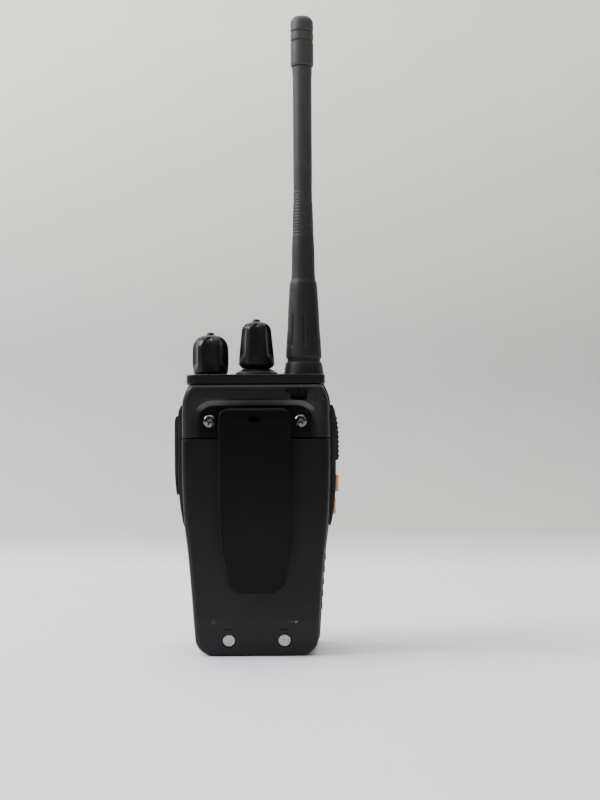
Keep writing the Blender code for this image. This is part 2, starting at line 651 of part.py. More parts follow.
def battery_case():
    outline = body_outline(REAR_INSET, 0, PACK_TOP, shoulder=0)
    case = slab("battery_case", "XZ", outline, (PACK_FRONT, PACK_BACK), BLACK_PLASTIC)
    round_edges_at(case, PACK_BACK, 2.6)
    cavity = slab("pack_cavity", "XZ", body_outline(2.2, 1.6, 87.8, 4.5, 0), (1, PACK_BACK - 1.3))
    cut(cavity, facet_wedge("cavity_facet", 1.3))
    fuse(case, box("pack_tongue", (-12, 5.2, 88.5), (12, 8.2, 92.2)))
    cut(case, facet_wedge("pack_facet", 0), cavity)
    for side in (-1, 1):
        middle, normal = contact_place(side)
        cut(case, rod(f"contact_hole_{side}", 2.95, middle - normal * 4, middle + normal * 4, sides=20))
    return case


def contact_place(side):
    """The middle of one charging contact on the sloping face, and the face's outward direction."""
    y = PACK_BACK - FACET_DEPTH * (FACET_TOP - CONTACT_Z) / FACET_TOP
    return Vector((side * CONTACT_X, y, CONTACT_Z)), Vector((0, FACET_TOP, -FACET_DEPTH)).normalized()


def charge_contacts():
    button = [(0, -0.15), (2.3, -0.15), (2.65, -0.4), (2.65, -1.6), (3.5, -1.6), (3.5, -2.1), (0, -2.1)]
    for name, side in (("charge_contact_left", 1), ("charge_contact_right", -1)):
        middle, normal = contact_place(side)
        yield turned(name, button, middle, NICKEL, 20, normal)


def battery_lid():
    outline = body_outline(REAR_INSET, 0, PACK_TOP, shoulder=0)
    lid = slab("battery_lid", "XZ", outline, (LID_FRONT, LID_BACK), BLACK_PLASTIC)
    for side in (-1, 1):
        rail = sorted((side * (RAIL_X - 1.1), side * (RAIL_X + 1.1)))
        fuse(lid, box(f"rail_{side}", (rail[0], 0.9, 20), (rail[1], 2.8, 80)))
        x = side * TERMINAL_X
        cut(lid, box(f"terminal_pocket_{side}", (x - 2.1, 1.5, 81), (x + 2.1, 3.1, 87)))
    cut(lid, box("tooth_pocket", (-4.2, 1, 3.7), (4.2, 5, 7.3)))
    return lid


def battery():
    pieces = [battery_case(), battery_lid(), *charge_contacts()]
    pieces.append(box("battery_cell", (-17, 4.4, 24), (17, 10.4, 80), BLUE_WRAP, 2.0))
    pieces.append(box("battery_board", (-14, 4.4, 82), (14, 5.6, 87), CIRCUIT))
    for name, x in (("battery_terminal_plus", TERMINAL_X), ("battery_terminal_minus", -TERMINAL_X)):
        pieces.append(box(name, (x - 1.7, 2.4, 81.5), (x + 1.7, 2.8, 86.5), NICKEL))
    pivot("battery_axis", (0, LID_FRONT, PACK_TOP), *pieces)


def terminals():
    """The radio's side of the battery connection: a block with two leaf springs."""
    block = box("terminal_block", (-8, -4.5, 80), (8, 1.5, 88), BLACK_PLASTIC)
    leaf = [(-3.1, 81.5), (-3.1, 86.3), (-0.8, 86.3), (0.9, 85.4), (1.75, 84), (0.9, 82.6), (0, 82.2)]
    for i, x in enumerate((-TERMINAL_X, TERMINAL_X), 1):
        cut(block, box(f"spring_pocket_{i}", (x - 1.9, -3.6, 80.9), (x + 1.9, 3, 87.1)))
        slab(f"terminal_spring_{i}", "YZ", strip(leaf, 0.3), (x - 1.4, x + 1.4), NICKEL)


def battery_latch():
    button = box("latch_button", (-7, -9, 0.5), (7, -2.2, 1.7), BLACK_PLASTIC)
    fuse(
        button,
        box("latch_stem", (-4, -7.6, 1.2), (4, -4.0, 6.9)),
        box("latch_wings", (-9, -7.4, 2.3), (9, -4.3, 3.5)),
    )
    tooth = box("latch_tooth", (-3.5, -3.7, TOOTH_Z[0]), (3.5, 3.3, TOOTH_Z[1]), STEEL, 0.3)
    spring = wire("latch_spring", helix((0, 5.2), 1, 1.3, -13.4, -8.1, 5), 0.25, STEEL)
    pivot("latch_axis", (0, -4, 3), button, tooth, spring)


# ---------------------------------------------------------------- screws

def screw(name, at, head, shank, lengths):
    """A screw that points along -Y, with its seat at a point: head and shank radii, then their lengths."""
    tall, deep = lengths
    profile = [(0, tall), (head * 0.6, tall), (head, tall * 0.4), (head, 0), (shank, 0), (shank, -deep),
               (0, -deep)]
    made = turned(name, profile, at, STEEL, 16, (0, 1, 0))
    x, y, z = at
    cut(
        made,
        box(name + "_cross_1", (x - head * 0.5, y + tall * 0.4, z - 0.3), (x + head * 0.5, y + 3, z + 0.3)),
        box(name + "_cross_2", (x - 0.3, y + tall * 0.4, z - head * 0.5), (x + 0.3, y + 3, z + head * 0.5)),
    )


def screws():
    for side, word in ((1, "left"), (-1, "right")):
        screw(f"clip_screw_{word}", (side * CLIP_SCREW_X, 12.3, CLIP_SCREW_Z), 2.85, 1.2, (1.5, 8.6))
        screw(f"case_screw_{word}", (side * CASE_SCREW_X, 0.8, CASE_SCREW_Z), 2.5, 1.1, (0.9, 8.6))


clear_scene()
RADIO = new_collection("two_way_radio")
CUTTERS = new_collection("cutters")

BLACK_PLASTIC = material("moulded_black", (0.012, 0.012, 0.012), 0.55)
CAST_BLACK = material("painted_casting", (0.014, 0.014, 0.014), 0.5)
GLOSS_BLACK = material("polished_black", (0.008, 0.008, 0.009), 0.25)
SATIN_BLACK = material("satin_black", (0.01, 0.01, 0.011), 0.4)
RUBBER = material("black_rubber", (0.02, 0.02, 0.02), 0.75)
ORANGE = material("orange_key", (0.55, 0.2, 0.05), 0.5)
STEEL = material("steel", (0.5, 0.5, 0.5), 0.35, 1.0)
NICKEL = material("nickel", (0.62, 0.62, 0.6), 0.3, 1.0)
BRASS = material("brass", (0.6, 0.45, 0.2), 0.35, 1.0)
COPPER = material("copper", (0.7, 0.35, 0.2), 0.35, 1.0)
CIRCUIT = material("circuit_board", (0.02, 0.14, 0.06), 0.5)
CLEAR = material("clear_plastic", (0.8, 0.8, 0.8), 0.1)
FELT = material("felt", (0.03, 0.03, 0.03), 0.95)
PAPER = material("paper_cone", (0.1, 0.1, 0.1), 0.8)
BLUE_WRAP = material("cell_wrap", (0.05, 0.12, 0.3), 0.4)

front_case()
rear_chassis()
case_seal()
top_panel()
channel_dial_ring()
ptt_bezel()
jack_bezel()
speaker()
microphone()
boards()
volume_control()
channel_control()
lights()
antenna()
push_to_talk()
side_key("side_key_upper", UPPER_KEY, 34.6, 31.9)
side_key("side_key_lower", LOWER_KEY, 33.4, 31.5)
jack_block()
jack_cover()
clip_base()
clip_lever()
battery()
terminals()
battery_latch()
screws()
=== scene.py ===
"""Looks of the handheld two-way radio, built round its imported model.

Sizes are in millimetres in the row frame: +Z up, -Y out of the speaker face, +Y out of the battery and belt
clip, -X out of the push-to-talk side. The helpers turn them into metres.
"""

import json
import math

import bmesh
import bpy
import numpy as np
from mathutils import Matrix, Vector


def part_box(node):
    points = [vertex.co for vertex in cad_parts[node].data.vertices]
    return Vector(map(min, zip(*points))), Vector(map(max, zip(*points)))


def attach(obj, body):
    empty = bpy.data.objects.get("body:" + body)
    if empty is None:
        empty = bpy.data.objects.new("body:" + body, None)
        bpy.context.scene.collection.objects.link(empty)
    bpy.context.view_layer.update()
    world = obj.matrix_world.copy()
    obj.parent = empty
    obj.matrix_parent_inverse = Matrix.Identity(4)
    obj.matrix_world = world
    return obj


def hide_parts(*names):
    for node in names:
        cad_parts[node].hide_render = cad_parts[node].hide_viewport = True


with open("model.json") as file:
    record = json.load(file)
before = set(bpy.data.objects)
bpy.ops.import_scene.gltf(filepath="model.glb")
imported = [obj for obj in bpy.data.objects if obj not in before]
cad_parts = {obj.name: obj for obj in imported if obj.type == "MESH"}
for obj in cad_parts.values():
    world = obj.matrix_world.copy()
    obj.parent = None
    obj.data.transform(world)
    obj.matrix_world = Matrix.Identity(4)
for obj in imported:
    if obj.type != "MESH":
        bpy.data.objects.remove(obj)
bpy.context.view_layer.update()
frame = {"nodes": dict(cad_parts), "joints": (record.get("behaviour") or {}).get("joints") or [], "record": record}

MM = 0.001
JOINTS = {joint["name"]: joint for joint in frame["joints"]}


def corners(node):
    """A CAD node's lowest and highest corner in millimetres."""
    return [[value / MM for value in corner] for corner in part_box(node)]


def joint_at(name):
    return [value / MM for value in JOINTS[name]["pos_m"]]


# Body: half-widths at heights, and the layers from front to back
SIDE_LINE = (
    (6.5, 26.2), (22.0, 27.2), (42.0, 28.8), (54.0, 30.2), (72.0, 31.0), (90.0, 31.05), (107.0, 30.9),
)
BASE_CORNER = 7.6
SHOULDER_CORNER = 2.8
SHOULDER_STRETCH = 2.9    # how many times taller than wide the shoulders are
WALL = 2.0
REAR_INSET = 0.8
(_, FRONT_FACE, _), (_, _, BODY_TOP) = corners("front_case")
(_, PLATE_FRONT, PLATE_LOW), (_, HEAD_BACK, HEAD_TOP) = corners("rear_chassis")
PLATE_BACK = 1.8
HEAD_BOTTOM = 89.8
(_, LID_FRONT, _), (_, LID_BACK, PACK_TOP) = corners("battery_lid")
LID_PLATE_FRONT = 2.1
(_, PACK_FRONT, _), (_, PACK_BACK, _) = corners("battery_case")
(_, _, PANEL_LOW), (_, _, COLLAR_TOP) = corners("top_panel")
PANEL_TOP = 115.8
FACET_TOP, FACET_DEPTH = 14.8, 2.6
CONTACT_X, CONTACT_Z = 11.4, 6.6
CLIP_SCREW_X, CLIP_SCREW_Z = 18.6, 96.5
RECESS_FLOOR = 10.2
RAIL_X = 23.0
SPEAKER_Z = 52.0

VOLUME_X, CONTROL_Y, _ = joint_at("volume_turn")
CHANNEL_X = joint_at("channel_turn")[0]
ANTENNA_X = joint_at("antenna_turn")[0]
_, CLIP_PIVOT_Y, CLIP_PIVOT_Z = joint_at("clip_open")
SIDE_Y = joint_at("ptt_press")[1]
LENS = (-12.3, -14.7)
STATUS = (10.0, -15.2)
SAME_POINT = 0.0000005    # metres within which two points are one
CREASE = 36               # degrees from which an edge is shaded hard
CHANNELS = 16
UPPER_KEY = (66.0, 73.0)
LOWER_KEY = (56.5, 63.5)
SEAM = 0.02               # between the front half and the casting
CORNER_PULL = 0.92        # weight of the corner's own point in a rounded corner of an outline
LEAN = 0.35               # degrees that the camera is rolled


# ---- camera and stage

def shown(name, data):
    """An object in the scene for a mesh, a lamp or a camera."""
    obj = bpy.data.objects.new(name, data)
    bpy.context.scene.collection.objects.link(obj)
    return obj


def camera():
    """Camera behind the radio, looking level at its battery."""
    data = bpy.data.cameras.new("camera")
    data.sensor_width = 36
    data.lens = 51.75
    obj = shown("camera", data)
    obj.location = (-0.0183, 0.4815, 0.105)
    obj.rotation_euler = (math.radians(90), math.radians(LEAN), math.radians(180))
    bpy.context.scene.camera = obj


def area_light(name, at, target, size, power, colour=(1, 1, 1)):
    data = bpy.data.lights.new(name, "AREA")
    data.shape = "RECTANGLE"
    data.size, data.size_y = size
    data.energy = power
    data.color = colour
    obj = shown(name, data)
    obj.location = at
    obj.rotation_euler = (Vector(target) - Vector(at)).to_track_quat("-Z", "Y").to_euler()


def lights():
    area_light("window", (1.05, 0.12, 0.95), (0, -0.05, 0.1), (0.7, 0.7), 25, (0.97, 0.985, 1.0))
    area_light("ceiling", (-0.1, -0.15, 1.75), (0, -0.2, 0.1), (2.2, 1.8), 33, (1.0, 0.995, 0.98))
    area_light("soft_right", (-0.9, 0.9, 0.9), (0, 0, 0.12), (0.9, 0.9), 1.6, (1.0, 0.98, 0.96))
    world = bpy.data.worlds.new("soft_room")
    world.use_nodes = True
    background = world.node_tree.nodes["Background"]
    background.inputs["Color"].default_value = (0.86, 0.88, 0.84, 1)
    background.inputs["Strength"].default_value = 0.14
    bpy.context.scene.world = world


def stage():
    """A sheet of pale paper: a floor that curves up into a wall."""
    far, near, rise, bend = -0.62, 1.6, 1.9, 0.16
    profile = [(near, 0.0), *arc((far + bend, bend), bend, 270, 180, 15), (far, rise)]
    across = np.linspace(-2.2, 2.2, 9)
    mesh = bpy.data.meshes.new("paper_sweep")
    points = [(x, y, z) for x in across for y, z in profile]
    count = len(profile)
    faces = [
        (i * count + j, i * count + j + 1, (i + 1) * count + j + 1, (i + 1) * count + j)
        for i in range(len(across) - 1) for j in range(count - 1)
    ]
    mesh.from_pydata(points, [], faces)
    mesh.shade_smooth()
    sweep = shown("paper_sweep", mesh)
    paper = Finish("paper", (0.74, 0.74, 0.73), 0.75)
    # Painted shade and light: the wall is painted darker towards its foot and lighter towards its top, and the
    # floor in front is given an even pale colour over that.
    paper.tint(paper.along("Z", 120, 460), (0.59, 0.588, 0.575), (0.97, 0.98, 0.89))
    paper.over(paper.along("Y", -430, -230), (0.94, 0.92, 0.99))
    paper.over(paper.remap(paper.noise(60, 3), 0.4, 0.7, 0, 0.12), (0.72, 0.72, 0.74))
    paper.bump(paper.noise(0.8, 4), 0.05)
    mesh.materials.append(paper.material)


# ---- materials

class Finish:
    """A Principled material with helpers for its procedural detail, in the row frame's own coordinates."""

    def __init__(self, name, colour, roughness, metallic=0.0, **sockets):
        self.name = name
        self.material = bpy.data.materials.new(name)
        self.material.use_nodes = True
        self.material.diffuse_color = (*colour, 1)
        self.tree = self.material.node_tree
        self.shader = self.tree.nodes["Principled BSDF"]
        self.place = self.node("TexCoord").outputs["Object"]
        self.colour = colour
        self.set("Base Color", (*colour, 1))
        self.set("Roughness", roughness)
        self.set("Metallic", metallic)
        for socket, value in sockets.items():
            self.set(socket.replace("_", " "), value)

    def node(self, kind, **inputs):
        """A new shader node, with values for some of its inputs."""
        node = self.tree.nodes.new("ShaderNode" + kind)
        for socket, value in inputs.items():
            node.inputs[socket].default_value = value
        return node

    def set(self, socket, value):
        self.shader.inputs[socket].default_value = value

    def link(self, source, target):
        self.tree.links.new(source, target)

    def scaled(self, stretch):
        mapping = self.node("Mapping", Scale=stretch)
        self.link(self.place, mapping.inputs["Vector"])
        return mapping.outputs["Vector"]

    def noise(self, size, detail=2.0, stretch=None, roughness=0.55):
        """Noise whose features are about size millimetres wide."""
        node = self.node("TexNoise", Scale=1 / (size * MM), Detail=detail, Roughness=roughness)
        self.link(self.scaled(stretch) if stretch else self.place, node.inputs["Vector"])
        return node.outputs["Fac"]

    def cells(self, size, feature="F1"):
        node = self.node("TexVoronoi", Scale=1 / (size * MM))
        node.feature = feature
        self.link(self.place, node.inputs["Vector"])
        return node.outputs["Distance"]

    def edges(self, radius, noise_size=2.0):
        """1 on worn convex edges, broken up by noise."""
        bevel = self.node("Bevel", Radius=radius * MM)
        bevel.samples = 4
        geometry = self.node("NewGeometry")
        dot = self.node("VectorMath")
        dot.operation = "DOT_PRODUCT"
        self.link(bevel.outputs["Normal"], dot.inputs[0])
        self.link(geometry.outputs["Normal"], dot.inputs[1])
        edge = self.remap(dot.outputs["Value"], 0.995, 0.86, 0.0, 1.0)
        return self.times(edge, self.remap(self.noise(noise_size, 4), 0.42, 0.66, 0.0, 1.0))

    def near(self, at, radius, spread=0.5):
        """1 close to a point, falling to 0 at a radius, with a ragged edge."""
        distance = self.node("VectorMath")
        distance.operation = "DISTANCE"
        self.link(self.place, distance.inputs[0])
        distance.inputs[1].default_value = [value * MM for value in at]
        rough = self.remap(self.noise(0.6, 3), 0.3, 0.7, -spread * radius * MM, spread * radius * MM)
        total = self.math("ADD", distance.outputs["Value"], rough)
        return self.remap(total, radius * MM, radius * MM * 0.3, 0.0, 1.0)

    def along(self, axis, start, end):
        """0 before start and 1 past end, in millimetres along an axis of the frame."""
        split = self.node("SeparateXYZ")
        self.link(self.place, split.inputs[0])
        return self.remap(split.outputs[axis], start * MM, end * MM, 0.0, 1.0)

    def within(self, axis, low, high, soft):
        """1 between two places along an axis, with soft ends."""
        return self.times(self.along(axis, low - soft, low), self.along(axis, high + soft, high))

    def math(self, operation, a, b):
        node = self.node("Math")
        node.operation = operation
        for socket, value in zip(node.inputs, (a, b)):
            if isinstance(value, (int, float)):
                socket.default_value = value
            else:
                self.link(value, socket)
        return node.outputs["Value"]

    def times(self, a, b):
        return self.math("MULTIPLY", a, b)

    def remap(self, value, from_low, from_high, low, high):
        node = self.node("MapRange")
        for socket, number in zip(list(node.inputs)[1:5], (from_low, from_high, low, high)):
            socket.default_value = number
        self.link(value, node.inputs["Value"])
        return node.outputs["Result"]

    def over(self, mask, colour, under=None):
        """Paints a colour by a mask, over what is there or over another colour."""
        node = self.node("Mix")
        node.data_type = "RGBA"
        self.link(mask, node.inputs["Factor"])
        first, second = [s for s in node.inputs if s.type == "RGBA"]
        base = self.shader.inputs["Base Color"]
        if base.links and not under:
            self.link(base.links[0].from_socket, first)
        else:
            first.default_value = (*(under or self.colour), 1)
        second.default_value = (*colour, 1)
        self.link(next(s for s in node.outputs if s.type == "RGBA"), base)

    def tint(self, mask, low, high):
        """Sets the base colour from low where mask is 0 to high where it is 1."""
        self.over(mask, high, low)

    def wear_edges(self, radius, patches, colour, grain=2.0):
        """Paints a colour on worn edges, where a mask of patches lets it."""
        self.over(self.times(self.edges(radius, grain), patches), colour)

    def roughness(self, value):
        self.link(value, self.shader.inputs["Roughness"])

    def uneven(self, size, detail, low, high):
        """Roughness between two values, by noise."""
        self.roughness(self.remap(self.noise(size, detail), 0.3, 0.7, low, high))

    def bump(self, height, depth, strength=1.0):
        """Adds relief of a depth in millimetres to what is there."""
        node = self.node("Bump", Distance=depth * MM, Strength=strength)
        self.link(height, node.inputs["Height"])
        existing = self.shader.inputs["Normal"].links
        if existing:
            self.link(existing[0].from_socket, node.inputs["Normal"])
        self.link(node.outputs["Normal"], self.shader.inputs["Normal"])


def moulded_black():
    """Fine spark-eroded texture, with faint handling marks."""
    finish = Finish("moulded_black", (0.010, 0.010, 0.0105), 0.46, Specular_IOR_Level=0.32)
    finish.tint(finish.noise(14, 3), (0.0078, 0.0078, 0.0082), (0.0125, 0.0124, 0.0122))
    finish.wear_edges(0.5, finish.remap(finish.noise(9), 0.45, 0.7, 0, 0.6), (0.06, 0.06, 0.06))
    finish.uneven(6, 4, 0.38, 0.54)
    finish.bump(finish.noise(0.16, 2), 0.012, 0.6)
    finish.bump(finish.noise(7, 2), 0.05, 0.35)
    return finish


def battery_black():
    """The battery's satin back: fine texture, hairline scratches and light spots on the lower crease, partly a
    scuff and partly a painted highlight.
    """
    finish = Finish("battery_black", (0.007, 0.007, 0.0074), 0.42, Specular_IOR_Level=0.17)
    # Painted reflection: darker towards the top and lighter towards the bottom, as the pale floor would light it.
    finish.tint(finish.along("Z", 86, 8), (0.0024, 0.0028, 0.0027), (0.0140, 0.0140, 0.0147))
    scratches = finish.remap(finish.noise(0.35, 3, (1.0, 1.0, 0.03)), 0.70, 0.78, 0, 0.35)
    patches = finish.remap(finish.noise(11), 0.5, 0.75, 0, 1)
    finish.over(finish.times(scratches, patches), (0.045, 0.045, 0.044))
    # Light spots along the lower crease: partly a scuff, partly a painted highlight of the crease.
    for x, radius, tone in ((-16.2, 0.75, 0.15), (-14.6, 0.8, 0.04), (-13.2, 0.8, 0.03), (17.5, 1.2, 0.03)):
        finish.over(finish.near((x, PACK_BACK, FACET_TOP - 0.3), radius, 0.6), (tone, tone, tone * 0.97))
    finish.wear_edges(0.6, finish.remap(finish.noise(5), 0.5, 0.7, 0, 0.5), (0.04, 0.04, 0.0395))
    finish.uneven(8, 4, 0.34, 0.5)
    finish.bump(finish.noise(0.2, 2), 0.01, 0.5)
    finish.bump(scratches, 0.01, 0.4)
    return finish


def painted_casting():
    """Satin paint on the cast head, lighter on its worn edges and its worn strap corner, with painted light on the
    sloping border of its recess.
    """
    finish = Finish("painted_casting", (0.0105, 0.0102, 0.0098), 0.46, Specular_IOR_Level=0.2)
    finish.tint(finish.noise(10, 4), (0.0085, 0.0084, 0.0082), (0.0145, 0.0139, 0.0126))
    wear = finish.near((-25.5, HEAD_BACK - 1, 106.5), 9.5, 0.5)
    patches = finish.remap(finish.noise(1.6, 4), 0.4, 0.65, 0.1, 0.7)
    finish.over(finish.times(wear, patches), (0.03, 0.029, 0.025))
    finish.wear_edges(0.8, finish.remap(finish.noise(7), 0.4, 0.65, 0.1, 0.6), (0.035, 0.033, 0.03), 1.2)
    # Painted light: the sloping border of the clip recess is painted much lighter, standing in for the light it
    # would catch.
    painted_border_light = finish.times(finish.within("Y", 11.0, 11.9, 0.1), finish.within("Z", 102, 106, 1.5))
    finish.over(finish.times(painted_border_light, finish.within("X", -26, 26, 0.3)), (0.09, 0.083, 0.08))
    finish.uneven(3, 4, 0.3, 0.48)
    finish.bump(finish.noise(0.3, 3), 0.014, 0.6)
    return finish


def polished_black():
    """Smooth moulded knobs and top platform, with a duller antenna collar."""
    finish = Finish("polished_black", (0.006, 0.0062, 0.006), 0.33, Specular_IOR_Level=0.26)
    finish.tint(finish.noise(12, 2), (0.005, 0.0052, 0.0051), (0.0075, 0.0077, 0.0074))
    collar = finish.times(finish.along("X", -10.5, -11), finish.along("Z", 116.0, 116.4))
    finish.over(collar, (0.0125, 0.0125, 0.012))
    gloss = finish.remap(finish.noise(14, 2), 0.3, 0.7, 0.27, 0.32)
    finish.roughness(finish.math("ADD", finish.times(collar, 0.2), gloss))
    finish.bump(finish.noise(0.3, 2), 0.001, 0.3)
    return finish


def satin_black():
    """The belt clip's smooth satin plastic, rubbed by use, painted lighter towards its lower end as a reflection
    of the floor.
    """
    finish = Finish("satin_black", (0.0045, 0.0045, 0.0046), 0.4, Specular_IOR_Level=0.07)
    # Painted reflection: darker towards the clip's top and lighter towards its lower end, as the floor would light
    # it.
    finish.tint(finish.along("Z", 100, 28), (0.0032, 0.0032, 0.0032), (0.0068, 0.0067, 0.0067))
    rub = finish.remap(finish.noise(0.3, 3, (1.0, 1.0, 0.04)), 0.69, 0.8, 0, 0.3)
    finish.over(rub, (0.014, 0.014, 0.014))
    finish.wear_edges(0.5, finish.remap(finish.noise(6), 0.45, 0.7, 0, 0.6), (0.022, 0.021, 0.02), 1.5)
    finish.uneven(9, 4, 0.3, 0.46)
    finish.bump(finish.noise(0.25, 2), 0.008, 0.5)
    return finish


def black_rubber():
    """Matte elastomer with a fine dusty grain."""
    finish = Finish("black_rubber", (0.014, 0.014, 0.0138), 0.62, Specular_IOR_Level=0.3)
    finish.tint(finish.noise(5, 4), (0.011, 0.011, 0.0108), (0.018, 0.0178, 0.017))
    finish.over(finish.remap(finish.noise(0.5, 3), 0.66, 0.8, 0, 0.3), (0.035, 0.034, 0.032))
    finish.uneven(3, 3, 0.52, 0.72)
    finish.bump(finish.noise(0.22, 3), 0.02, 0.6)
    return finish


def antenna_rubber():
    """The antenna's sleeve: matte, with flow lines along it, painted dark at its foot and lighter towards its tip
    as shade and light.
    """
    finish = Finish("antenna_rubber", (0.014, 0.0142, 0.0134), 0.5, Specular_IOR_Level=0.36)
    # Painted shade and light: the sleeve is painted dark at its foot and lighter towards its tip.
    finish.tint(finish.along("Z", 148, 262), (0.0062, 0.0062, 0.0061), (0.053, 0.059, 0.053))
    finish.over(finish.remap(finish.noise(7, 4, (1, 1, 0.3)), 0.4, 0.7, 0, 0.3), (0.009, 0.009, 0.0088))
    finish.over(finish.remap(finish.noise(0.6, 3), 0.68, 0.82, 0, 0.3), (0.035, 0.034, 0.032))
    finish.uneven(4, 3, 0.42, 0.6)
    finish.bump(finish.noise(0.25, 3), 0.014, 0.6)
    finish.bump(finish.noise(2.2, 2, (1, 1, 0.08)), 0.03, 0.4)
    return finish


def orange_key():
    """Soft orange key caps with grime in their texture."""
    finish = Finish("orange_key", (0.74, 0.33, 0.14), 0.55, Subsurface_Weight=0.05)
    finish.tint(finish.noise(2.5, 3), (0.66, 0.28, 0.11), (0.80, 0.38, 0.17))
    finish.over(finish.remap(finish.noise(0.5, 4), 0.6, 0.78, 0, 0.45), (0.34, 0.17, 0.09))
    finish.uneven(1.5, 3, 0.45, 0.65)
    finish.bump(finish.noise(0.15, 2), 0.012, 0.6)
    return finish


def metal(name, colour, roughness, scratch=0.25, stretch=(1, 1, 1)):
    """Bare or plated metal with fine scratches and a little tarnish."""
    finish = Finish(name, colour, roughness, 1.0)
    dull = tuple(value * 0.62 for value in colour)
    finish.tint(finish.remap(finish.noise(1.8, 4), 0.35, 0.75, 0, 1), colour, dull)
    finish.roughness(finish.remap(finish.noise(0.5, 4, stretch), 0.3, 0.7, roughness * 0.7, roughness * 1.5))
    finish.bump(finish.noise(scratch, 4, stretch), 0.004, 0.6)
    return finish


def circuit_board():
    """Green solder mask with faint tracks and gold pads."""
    finish = Finish("circuit_board", (0.01, 0.09, 0.035), 0.35)
    tracks = finish.remap(finish.cells(2.6, "DISTANCE_TO_EDGE"), 0.02, 0.05, 1, 0)
    finish.tint(tracks, (0.008, 0.075, 0.028), (0.02, 0.15, 0.06))
    finish.over(finish.remap(finish.cells(1.7), 0.16, 0.12, 0, 1), (0.62, 0.47, 0.18))
    finish.uneven(2, 3, 0.28, 0.42)
    finish.bump(tracks, 0.03, 0.6)
    return finish


def clear_plastic():
    finish = Finish("clear_plastic", (0.9, 0.92, 0.93), 0.08, Transmission_Weight=0.92, IOR=1.49)
    finish.tint(finish.noise(3, 2), (0.86, 0.89, 0.91), (0.95, 0.96, 0.96))
    finish.roughness(finish.remap(finish.noise(1.2, 4), 0.35, 0.75, 0.04, 0.16))
    finish.bump(finish.noise(0.6, 3), 0.004, 0.4)
    return finish


def fibres(name, colour, roughness, grain):
    """Felt or pressed paper: a tangle of short fibres."""
    finish = Finish(name, colour, roughness)
    dark, light = [tuple(value * share for value in colour) for share in (0.6, 1.5)]
    finish.tint(finish.noise(grain * 2, 4), dark, light)
    finish.bump(finish.noise(grain, 5), grain * 0.25)
    return finish


def cell_wrap():
    """Shrink film over the cell, with soft wrinkles."""
    finish = Finish("cell_wrap", (0.03, 0.09, 0.28), 0.28)
    finish.tint(finish.noise(8, 3), (0.025, 0.075, 0.24), (0.04, 0.12, 0.34))
    finish.uneven(4, 3, 0.2, 0.36)
    finish.bump(finish.noise(5, 3, (1, 1, 0.3)), 0.12, 0.5)
    return finish


FINISHES = {finish.name: finish for finish in (
    moulded_black(),
    battery_black(),
    painted_casting(),
    polished_black(),
    satin_black(),
    black_rubber(),
    antenna_rubber(),
    orange_key(),
    metal("steel", (0.56, 0.56, 0.55), 0.28),
    metal("screw_steel", (0.14, 0.14, 0.137), 0.17, 0.4),
    metal("nickel", (0.43, 0.44, 0.425), 0.36, 0.15),
    metal("brass", (0.72, 0.56, 0.27), 0.24),
    metal("copper", (0.80, 0.42, 0.26), 0.26),
    circuit_board(),
    clear_plastic(),
    fibres("felt", (0.02, 0.02, 0.02), 0.95, 0.3),
    fibres("paper_cone", (0.06, 0.058, 0.055), 0.85, 0.5),
    cell_wrap(),
)}


def paint(obj, finish):
    obj.data.materials.clear()
    obj.data.materials.append(FINISHES[finish].material)


def add_rounds(obj, width, angle, segments=2):
    """A bevel on an object's edges that are sharper than an angle."""
    rounds = obj.modifiers.new("rounds", "BEVEL")
    rounds.width = width * MM
    rounds.segments = segments
    rounds.limit_method = "ANGLE"
    rounds.angle_limit = math.radians(angle)


def dress_cad_nodes():
    """Every CAD node starts with the finish of its slot. Those with a finer piece are hidden later."""
    for entry in frame["record"]["subparts"]:
        node = frame["nodes"][entry["node"]]
        paint(node, entry["material_slot"])
        if not entry["node"].endswith(("spring", "coil")):
            add_rounds(node, 0.12, 50)


# ---- modelling helpers

def piece(obj, finish, body, *nodes):
    """Gives an object its finish, its body and the CAD nodes that it stands for."""
    paint(obj, finish)
    if nodes:
        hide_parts(*nodes)
    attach(obj, body)
    return obj


def new_mesh(name, points, faces):
    """A mesh object from points in millimetres."""
    mesh = bpy.data.meshes.new(name)
    mesh.from_pydata([tuple(value * MM for value in point) for point in points], [], faces)
    shape = bmesh.new()
    shape.from_mesh(mesh)
    bmesh.ops.remove_doubles(shape, verts=shape.verts, dist=SAME_POINT)
    bmesh.ops.recalc_face_normals(shape, faces=shape.faces)
    shape.to_mesh(mesh)
    shape.free()
    return shown(name, mesh)


def loft(name, rings):
    """A closed solid through rings of points that all have the same count."""
    count = len(rings[0])
    points = [point for ring in rings for point in ring]
    faces = [
        (i * count + j, i * count + (j + 1) % count, (i + 1) * count + (j + 1) % count, (i + 1) * count + j)
        for i in range(len(rings) - 1) for j in range(count)
    ]
    faces += [tuple(range(count)), tuple(range(len(points) - count, len(points)))]
    return new_mesh(name, points, faces)


def turned(name, profile, at, steps=64, along=(0, 0, 1), radius_at=None):
    """A closed profile of (radius, height) turned round an axis. radius_at gives relief on it."""
    turn = Vector(along).to_track_quat("Z", "Y")
    rings = []
    for radius, height in profile:
        ring = []
        for i in range(steps):
            angle = 2 * math.pi * i / steps
            reach = radius_at(radius, height, angle) if radius_at else radius
            local = Vector((reach * math.cos(angle), reach * math.sin(angle), height))
            ring.append(tuple(Vector(at) + turn @ local))
        rings.append(ring)
    count = len(rings)
    points = [point for ring in rings for point in ring]
    faces = []
    for i in range(count):
        if profile[i][0] == 0 and profile[(i + 1) % count][0] == 0:
            continue
        for j in range(steps):
            k = (j + 1) % steps
            i2 = (i + 1) % count
            faces.append((i * steps + j, i * steps + k, i2 * steps + k, i2 * steps + j))
    made = new_mesh(name, points, faces)
    clean(made)
    return made


def clean(obj):
    """Takes out faces that collapsed on the axis."""
    shape = bmesh.new()
    shape.from_mesh(obj.data)
    bmesh.ops.dissolve_degenerate(shape, dist=SAME_POINT, edges=shape.edges)
    bmesh.ops.recalc_face_normals(shape, faces=shape.faces)
    shape.to_mesh(obj.data)
    shape.free()


